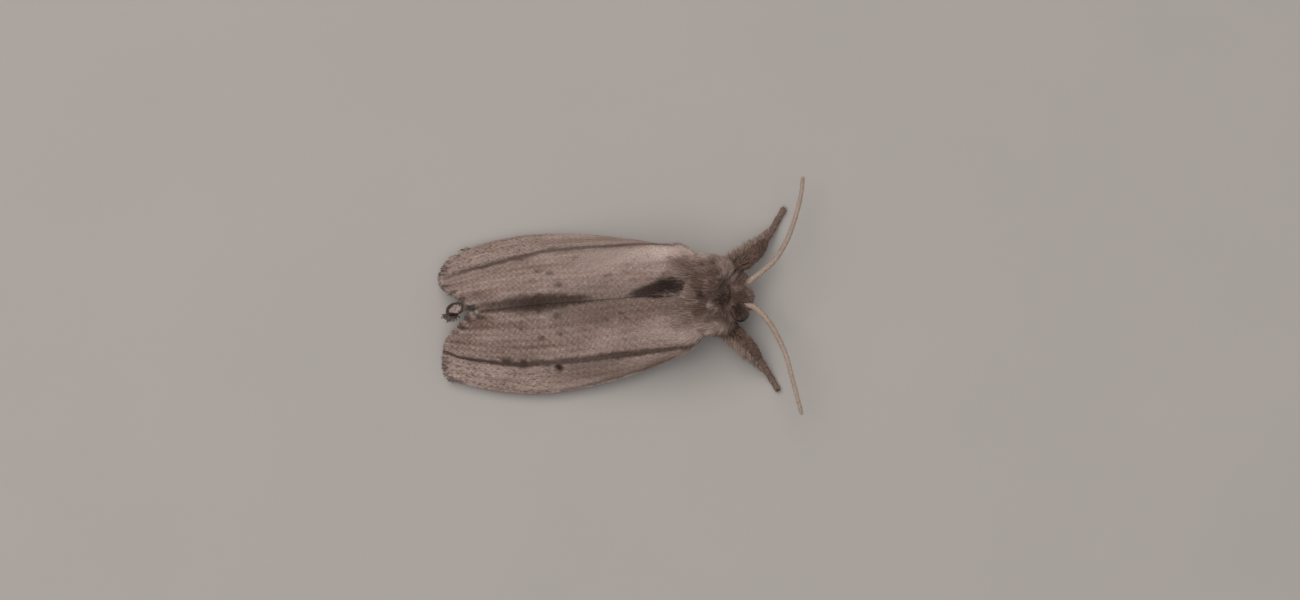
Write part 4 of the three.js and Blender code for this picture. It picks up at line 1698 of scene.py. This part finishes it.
    def coat(self, root: Array, normal: Array, seed: int) -> Tufts:
        """Tufts that follow the lie and gather in small clumps.

        Args:
            root: rows of x, y, z in millimetres.
            normal: outward normals.
            seed: which random numbers.

        Returns:
            The tufts.
        """
        rng = np.random.default_rng(seed)
        count = len(root)
        along, length, width = self.lie(root, normal)
        length = length * rng.uniform(0.7, 1.2, count)
        width = width * rng.uniform(0.75, 1.25, count)
        tip = root + along * length[:, None]
        heads = rng.choice(count, max(count // self.clump, 1), replace=False)
        nearest = np.empty(count, int)
        for start in range(0, count, self.chunk):
            part = slice(start, start + self.chunk)
            gap = np.sum((root[part, None] - root[None, heads]) ** 2, axis=-1)
            nearest[part] = heads[np.argmin(gap, axis=1)]
        tip = tip + (tip[nearest] - tip) * rng.uniform(0.05, 0.35, count)[:, None]
        along = unit(tip - root + 0.05 * rng.normal(size=(count, 3)) * length[:, None])
        marks = self.marks(root + along * length[:, None] * 0.4, seed)
        curl = rng.uniform(-0.28, -0.04, count)
        base, depth = root - normal * self.sink, width * 0.55
        return Tufts(base, along, normal, length, width, depth, curl, marks, self.unwrap(root))

    def build(self) -> None:
        """Makes the skin and its coat."""
        skin = self.skin()
        root, normal, part = self.roots(skin)
        marks = self.marks(corners_of(skin), self.skin_seed)
        marks[:, 3] = self.skin_level
        Piece("body_skin", THORAX_FINISH, "thorax_hair", ("thorax", "head", "abdomen")).carry(skin, marks)
        for number, (node, finish) in enumerate(COATS.items()):
            tufts = self.coat(root[part == number], normal[part == number], self.coat_seed + number)
            tufts.grow(Piece(node + "_coat", finish, node + "_hair", (node,)), HAIR)


# ---------- limbs ----------


@dataclass
class Limb:
    """A smooth line of even stations, with the way forward at each, and roots strewn round it."""

    bends: Array
    stations: int

    def __post_init__(self) -> None:
        """Walks the line from bend to bend."""
        dense = smooth_through(self.bends, np.linspace(0, 1, 400))
        walked = np.r_[0, np.cumsum(np.linalg.norm(np.diff(dense, axis=0), axis=1))]
        self.shares = np.linspace(0, 1, self.stations)
        self.line = rows(*(np.interp(self.shares * walked[-1], walked, axis) for axis in dense.T))
        self.forward = unit(np.gradient(self.line, axis=0))

    def between(self, table: Array, share: Array) -> Array:
        """Reads a table with a row per station at shares of the length."""
        return rows(*(np.interp(share, self.shares, axis) for axis in table.T))

    def around(self, count: int, low: float, high: float, radii: Array, seed: int) -> tuple[Array, ...]:
        """Strews roots over the limb.

        Args:
            count: how many.
            low: the least share of its length.
            high: the greatest share.
            radii: its radius at each station.
            seed: which random numbers.

        Returns:
            Roots, outward normals, forward directions, shares of the length and places on the unwrap.
        """
        rng = np.random.default_rng(seed)
        share = rng.uniform(low, high, count)
        angle = rng.uniform(-np.pi, np.pi, count)
        spine, forward = self.between(self.line, share), unit(self.between(self.forward, share))
        aside = unit(np.cross(forward, (0.0, 0.0, 1.0)))
        normal = aside * np.cos(angle)[:, None] + np.cross(aside, forward) * np.sin(angle)[:, None]
        radius = np.interp(share, self.shares, radii)[:, None]
        place = rows(0.01 + 0.98 * share, 0.5 + angle / (2 * np.pi) * 0.99)
        return spine + normal * radius * 0.92, normal, forward, share, place


ANTENNA_LINES = {
    Side.LEFT: (
        (2.65, 0.68, 3.5), (3.7, 1.46, 3.88), (4.85, 2.45, 4.1), (5.75, 3.95, 4.2), (6.35, 5.6, 4.15),
        (6.73, 7.1, 4.0), (6.9, 8.45, 3.7),
    ),
    Side.RIGHT: (
        (2.65, -0.6, 3.5), (3.35, -0.82, 3.8), (4.0, -1.42, 4.02), (4.8, -2.6, 4.2), (5.55, -4.3, 4.25),
        (6.1, -6.35, 4.1), (6.65, -8.35, 3.7),
    ),
}


@dataclass
class Antenna:
    """A thread-like antenna of many short joints that tapers to its tip, with scales on its back."""

    side: Side
    joints: int = 62
    profile: tuple[float, ...] = (0.84, 1.0, 1.04, 0.9)  # girth along one joint
    base: float = 0.2
    tip: float = 0.125
    swelling: float = 0.75  # how much thicker the first joints are, as a share
    count: int = 2600  # scales and sense hairs
    scale_length: tuple[float, float] = (0.11, 0.16)
    hair_length: tuple[float, float] = (0.07, 0.12)
    widths: tuple[float, float] = (0.05, 0.02)  # of a scale and of a sense hair
    depth: float = 0.014
    seed: int = 400

    def build(self) -> None:
        """Makes the antenna and its scales."""
        node = f"antenna_{self.side.word}"
        limb = Limb(np.array(ANTENNA_LINES[self.side]), self.joints * len(self.profile) + 1)
        taper = self.base + (self.tip - self.base) * limb.shares**1.4
        radii = taper * np.tile(self.profile, self.joints + 1)[: len(taper)]
        radii *= 1 + self.swelling * np.exp(-((limb.shares / 0.028) ** 2))
        radii[-2:] *= (0.75, 0.3)
        Piece(node + "_thread", ANTENNA_FINISH, "antenna", (node,)).carry(swept(limb.line, radii))
        count = self.count
        root, normal, forward, _, place = limb.around(count, 0.0, 0.985, radii, self.seed)
        rng = np.random.default_rng(self.seed + 1)
        top = normal[:, 2] > -0.25
        lift = np.where(top, rng.uniform(0.0, 0.07, count), rng.uniform(0.7, 1.3, count))
        length = np.where(top, rng.uniform(*self.scale_length, count), rng.uniform(*self.hair_length, count))
        marks = rows(0.0, 0.35 + 0.35 * top, 0.35 - 0.2 * top, rng.uniform(size=count))
        along = unit(forward + normal * lift[:, None])
        width = np.where(top, *self.widths)
        tufts = Tufts(root, along, normal, length, width, self.depth, -0.05, marks, place)
        tufts.grow(Piece(node + "_scales", HINDWING_FINISH, "antenna", (node,)), SCALE)


@dataclass
class Leg:
    """A scaly leg with a jointed foot, claws, spurs and, on a foreleg, a pale brush behind.

    The defaults are a foreleg's.
    """

    side: Side
    seed: int
    bends: tuple[Point, ...]
    kind: str = "foreleg"
    knee: float = 0.3  # share of the length where the thigh ends
    ankle: float = 0.56  # share where the shin ends and the five-part foot begins
    thigh: float = 0.5
    shin: float = 0.44
    foot: float = 0.27
    foot_parts: int = 5
    hair: float = 0.6  # hair length on the thigh and shin
    foot_hair: float = 0.17
    hair_width: float = 0.06
    foot_width: float = 0.055  # of a tuft on the foot
    count: int = 3900  # how many tufts
    brush_count: int = 780
    brush_width: tuple[float, float] = (0.04, 0.065)
    brush_depth: float = 0.026
    brush_seed: int = 620
    spurs: tuple[float, ...] = ()  # shares of the length where a pair of spurs grows
    claw: tuple[float, ...] = (0.04, 0.032, 0.02, 0.006)  # radii along a claw
    spur: tuple[float, ...] = (0.06, 0.062, 0.055, 0.04, 0.012)  # radii along a spur
    clear: float = 0.015  # how far a foot's skin stays above the floor
    rest: float = 0.3  # bends lower than this rest on the floor
    stations: int = 120

    def __post_init__(self) -> None:
        """Sets the foot on the floor."""
        line = np.array(self.bends)
        line[:, 2] = np.where(line[:, 2] < self.rest, self.foot + self.clear, line[:, 2])
        self.limb = Limb(line, self.stations)

    def inside(self, share: Array) -> Array:
        """How far along the foot a share of the leg's length is, 0 to 1."""
        return np.clip((share - self.ankle) / (1 - self.ankle), 0, 1)

    def joint(self, share: Array) -> Array:
        """How far along one of the foot's parts a share of the leg's length is, 0 to 1."""
        return np.mod(self.inside(share) ** 0.75 * self.foot_parts, 1)

    def radii(self) -> Array:
        """The leg's radius at each station: thigh, shin and five foot joints.

        Returns:
            Millimetres.
        """
        share = self.limb.shares
        thigh = self.thigh * (0.75 + 0.25 * np.sin(np.pi * np.clip(share / self.knee, 0, 1)))
        down = np.clip((share - self.knee) / (self.ankle - self.knee), 0, 1)
        radius = np.where(share < self.knee, thigh, self.shin + (self.foot - self.shin) * 0.8 * down)
        foot = self.foot * (1 - 0.25 * self.inside(share)) * (0.82 + 0.26 * self.joint(share))
        radius = np.where(share > self.ankle, foot, radius)
        for place, depth in ((self.knee, 0.25), (self.ankle, 0.15)):
            radius *= 1 - depth * np.exp(-(((share - place) / 0.012) ** 2))
        radius[-1] *= 0.6
        return radius

    def hooks(self) -> list[Mesh]:
        """Claws and spurs.

        Returns:
            Mesh objects, in millimetres.
        """
        hooks = []
        tip, forward = self.limb.line[-1], self.limb.forward[-1]
        aside = unit(np.cross(forward, (0.0, 0.0, 1.0)))
        for sign in (1, -1):
            line = tip + np.outer((0.0, 0.09, 0.17, 0.2), forward)
            line += np.outer((0.03, 0.08, 0.11, 0.11), aside * sign)
            line[:, 2] += (0.0, 0.03, 0.0, -0.08)
            hooks.append(swept(line, np.array(self.claw), 1))
        for place in self.spurs:
            k = int(place * (len(self.limb.line) - 1))
            at, way = self.limb.line[k], self.limb.forward[k]
            out = unit(np.cross(way, (0.0, 0.0, 1.0)))
            for sign, reach in ((1, 0.75), (-1, 0.55)):
                line = at + np.outer(np.linspace(0, reach, 5), unit(way + 0.32 * sign * out))
                line[:, 2] = np.maximum(line[:, 2], 0.07)
                hooks.append(swept(line, np.array(self.spur), 1))
        return hooks

    def coat(self, radii: Array) -> Tufts:
        """The leg's hair and scales.

        Args:
            radii: the leg's radius at each station.

        Returns:
            The tufts.
        """
        rng = np.random.default_rng(self.seed)
        count = self.count
        root, normal, forward, share, place = self.limb.around(count, 0.02, 0.985, radii, self.seed)
        foot = step(share, self.ankle - 0.06, self.ankle + 0.04)
        hair = self.hair * np.interp(share, (0.0, self.knee, self.ankle), (1.6, 1.25, 0.6))
        length = (hair * (1 - foot) + self.foot_hair * foot) * rng.uniform(0.75, 1.2, count)
        lift = np.interp(share, (0.0, self.ankle), (0.75, 0.3)) * (1 - foot) + 0.16 * foot
        lift = (lift * rng.uniform(0.6, 1.3, count))[:, None]
        along = unit(forward + normal * lift + 0.06 * rng.normal(size=(count, 3)))
        low = root[:, 2] + along[:, 2] * length
        along[:, 2] += np.where(low < 0.03, (0.03 - low) / length, 0)
        width = self.hair_width * (1 - foot) + self.foot_width * foot
        pale = foot * step(self.joint(share), 0.78, 0.95) * 0.25
        tint = pale + 0.12 * rng.uniform(size=count)
        marks = rows(0.16 * (1 - pale), tint, 0.4 * (1 - foot), rng.uniform(size=count))
        curl = rng.uniform(-0.2, -0.02, count)
        return Tufts(root, unit(along), normal, length, width, width * 0.4, curl, marks, place)

    def brush(self, radii: Array) -> Tufts:
        """The long pale tufts behind a foreleg.

        Args:
            radii: the leg's radius at each station.

        Returns:
            The tufts.
        """
        count = self.brush_count
        rng = np.random.default_rng(self.brush_seed)
        tried = count * 4
        found = self.limb.around(tried, 0.1, 0.72, radii, self.brush_seed + 1 + self.side.value)
        rear = np.array((-0.75, 0.6 * self.side.value, 0.1))
        keep = np.argsort(-(found[1] @ rear) + rng.uniform(0, 0.3, tried))[:count]
        root, normal, forward, share, place = (table[keep] for table in found)
        reach = np.interp(share, (0.12, 0.35, 0.5, 0.72), (0.95, 1.0, 0.7, 0.25))
        along = unit(forward * 0.8 + rear * 0.85 + 0.1 * rng.normal(size=(count, 3)))
        length = reach * rng.uniform(0.6, 1.1, count)
        marks = rows(0.0, rng.uniform(0.2, 0.8, count), 0.3, rng.uniform(size=count))
        width, curl = rng.uniform(*self.brush_width, count), rng.uniform(-0.15, 0.1, count)
        return Tufts(root, along, normal, length, width, self.brush_depth, curl, marks, place)

    def build(self) -> None:
        """Makes the leg's pieces."""
        node = f"{self.kind}_{self.side.word}"
        radii = self.radii()
        skin = swept(self.limb.line, radii)
        marks = np.tile((0.3, 0.1, 0.4, 0.4), (len(skin.data.vertices), 1))
        Piece(node + "_skin", LEG_FINISH, "leg_hair", (node,)).carry(skin, marks)
        Piece(node + "_claws", CLAW_FINISH, "leg_hair", (node,)).carry(joined(self.hooks()))
        groups = [self.coat(radii)]
        if self.brush_count:
            groups.append(self.brush(radii))
        Tufts.together(groups).grow(Piece(node + "_coat", LEG_FINISH, "leg_hair", (node,)), HAIR)


@dataclass
class Midleg(Leg):
    """A middle leg, half hidden under the wings."""

    kind: str = "midleg"
    knee: float = 0.33
    ankle: float = 0.6
    thigh: float = 0.3
    shin: float = 0.24
    foot: float = 0.13
    hair: float = 0.3
    count: int = 800
    brush_count: int = 0
    spurs: tuple[float, ...] = (0.58,)


@dataclass
class Hindleg(Midleg):
    """A hind leg, hidden under the wings."""

    kind: str = "hindleg"
    knee: float = 0.27
    ankle: float = 0.62
    hair: float = 0.34
    count: int = 1000
    spurs: tuple[float, ...] = (0.45, 0.6)


LEGS = (
    Leg(
        Side.LEFT, 500,
        ((1.5, 1.2, 1.3), (2.1, 2.25, 1.9), (2.95, 2.8, 2.15), (3.85, 3.6, 1.7), (4.65, 4.85, 0.8),
         (5.25, 5.95, 0.22), (5.77, 6.85, 0.22)),
    ),
    Leg(
        Side.RIGHT, 510,
        ((1.5, -1.2, 1.3), (1.85, -2.15, 1.9), (2.68, -2.92, 2.15), (3.5, -3.75, 1.75), (4.25, -4.72, 0.85),
         (4.85, -5.6, 0.22), (5.2, -6.2, 0.22)),
        thigh=0.44, shin=0.38, hair=0.48,
    ),
    Midleg(
        Side.LEFT, 520,
        ((-0.3, 1.1, 0.95), (-1.2, 2.5, 1.45), (-2.1, 3.3, 1.15), (-2.9, 3.5, 0.22), (-4.4, 3.5, 0.22)),
    ),
    Midleg(
        Side.RIGHT, 530,
        ((-0.3, -1.1, 0.95), (-1.3, -2.5, 1.45), (-2.3, -3.35, 1.15), (-3.1, -3.7, 0.22), (-4.6, -3.9, 0.22)),
    ),
    Hindleg(
        Side.LEFT, 540,
        ((-1.7, 1.0, 0.95), (-3.6, 2.45, 1.3), (-5.6, 2.75, 1.0), (-7.6, 2.85, 0.22), (-9.8, 2.6, 0.22)),
    ),
    Hindleg(
        Side.RIGHT, 550,
        ((-1.7, -1.0, 0.95), (-3.8, -2.75, 1.3), (-5.8, -3.25, 1.0), (-7.8, -3.5, 0.22), (-10.0, -3.5, 0.22)),
    ),
)


@dataclass
class Mouth:
    """The palps, which turn up in front of the face, and the coiled tongue between them."""

    palp_line: tuple[Point, ...] = (
        (2.4, 0.4, 1.85), (2.85, 0.46, 1.62), (3.12, 0.48, 1.75), (3.2, 0.48, 2.15),
    )
    palp_radius: float = 0.22
    palp_tufts: int = 800
    tuft_length: tuple[float, float] = (0.24, 0.16)  # above, and how much is added below
    tuft_width: tuple[float, float] = (0.04, 0.06)
    tuft_depth: float = 0.025
    seed: int = 700
    tongue: Point = (2.85, 0.0, 1.75)
    tongue_radii: tuple[float, float] = (0.055, 0.03)
    turns: float = 2.2
    coil: float = 0.3  # the tongue's outermost turn
    winding: float = 0.019  # how much closer it lies with each radian

    def palp(self, side: Side) -> None:
        """Makes one palp and its coat.

        Args:
            side: which side.
        """
        node = f"palp_{side.word}"
        limb = Limb(np.array(self.palp_line) * (1, side.value, 1), 40)
        waist = 1 - 0.2 * np.exp(-(((limb.shares - 0.72) / 0.03) ** 2))
        radii = self.palp_radius * (1 - 0.5 * limb.shares) * waist
        skin = swept(limb.line, radii)
        marks = np.tile((0.5, 0.1, 0.5, 0.4), (len(skin.data.vertices), 1))
        Piece(node + "_skin", LEG_FINISH, "head_hair", (node,)).carry(skin, marks)
        count = self.palp_tufts
        root, normal, forward, _, place = limb.around(count, 0.0, 0.99, radii, self.seed)
        rng = np.random.default_rng(self.seed + 1)
        under = np.clip(-normal[:, 2:], 0, 1)
        along = unit(forward + normal * (0.35 + 0.3 * under) + 0.06 * rng.normal(size=(count, 3)))
        marks = rows(0.1, 0.35 * place[:, 0], 0.4, rng.uniform(size=count))
        short, more = self.tuft_length
        length = (short + more * under[:, 0]) * rng.uniform(0.75, 1.2, count)
        width, curl = rng.uniform(*self.tuft_width, count), rng.uniform(-0.2, 0, count)
        tufts = Tufts(root, along, normal, length, width, self.tuft_depth, curl, marks, place)
        tufts.grow(Piece(node + "_coat", LEG_FINISH, "head_hair", (node,)), HAIR)

    def build(self) -> None:
        """Makes the palps and the tongue."""
        for side in Side:
            self.palp(side)
        turn = np.linspace(0, 2 * math.pi * self.turns, 60)
        radius = self.coil - self.winding * turn
        x, y, z = self.tongue
        line = rows(x + radius * np.sin(turn), y, z + radius * np.cos(turn))
        tongue = swept(line, np.linspace(*self.tongue_radii, len(turn)))
        Piece("head_tongue", CLAW_FINISH, "head_hair", ("head",)).carry(tongue)


# ---------- studio ----------


@dataclass
class Studio:
    """A plain pale floor, a large soft light from the moth's left, a weak one opposite, and the camera."""

    floor_size: float = 0.9
    lens: float = 60.0
    sensor: float = 36.0
    camera: Point = (-3.85, -23.9385, 152.7994)  # in the drawing
    target: Point = (-3.85, -0.21262, 3.0)
    clip: tuple[float, float] = (0.001, 10.0)  # metres
    air: tuple[float, float, float, float] = (0.96, 0.97, 1.0, 1.0)
    air_strength: float = 0.21

    def light(self, name: str, place: Point, size: float, power: float, colour: Point) -> None:
        """A square area light that faces the moth.

        Args:
            name: its name.
            place: where it is, in metres.
            size: its side in metres.
            power: its power in watts.
            colour: its colour.
        """
        bpy.ops.object.light_add(type="AREA", location=place)
        light = bpy.context.object
        light.name = name
        light.data.size = size
        light.data.energy = power
        light.data.color = colour
        light.rotation_euler = (-Vector(place)).to_track_quat("-Z", "Y").to_euler()

    def build(self) -> None:
        """Makes the floor, the lights, the air and the camera, which looks down on the moth."""
        deselect()
        bpy.ops.mesh.primitive_plane_add(size=self.floor_size, location=(0, 0, 0))
        floor = bpy.context.object
        floor.name = "studio_floor"
        floor.data.materials.append(FLOOR_FINISH.material)
        self.light("studio_key", place=(-0.13, 0.14, 0.43), size=0.42, power=1.38, colour=(1.0, 0.955, 0.925))
        self.light("studio_fill", place=(-0.03, -0.15, 0.41), size=0.4, power=0.76, colour=(0.98, 0.97, 0.97))
        world = bpy.data.worlds.new("studio_air")
        world.use_nodes = True
        background = world.node_tree.nodes["Background"].inputs
        background["Color"].default_value = self.air
        background["Strength"].default_value = self.air_strength
        bpy.context.scene.world = world
        bpy.context.scene.view_settings.view_transform = "Standard"
        place, target = (Vector(p) for p in placed(np.array((self.camera, self.target))))
        bpy.ops.object.camera_add(location=place)
        camera = bpy.context.object
        camera.name = "studio_camera"
        camera.data.lens = self.lens
        camera.data.sensor_width = self.sensor
        camera.data.clip_start, camera.data.clip_end = self.clip
        camera.rotation_euler = (target - place).to_track_quat("-Z", "Y").to_euler()
        bpy.context.scene.camera = camera


def main() -> None:
    """Builds the moth and its studio, piece by piece."""
    logging.basicConfig(level=logging.INFO)
    eyes = tuple(Eye(side) for side in Side)
    Body(eyes).build()
    for eye in eyes:
        eye.build()
    for side in Side:
        Forewing(side).build()
        Hindwing(side).build()
        Antenna(side).build()
    CurledFringe().build()
    for leg in LEGS:
        leg.build()
    Mouth().build()
    Studio().build()


if __name__ == "__main__":
    main()
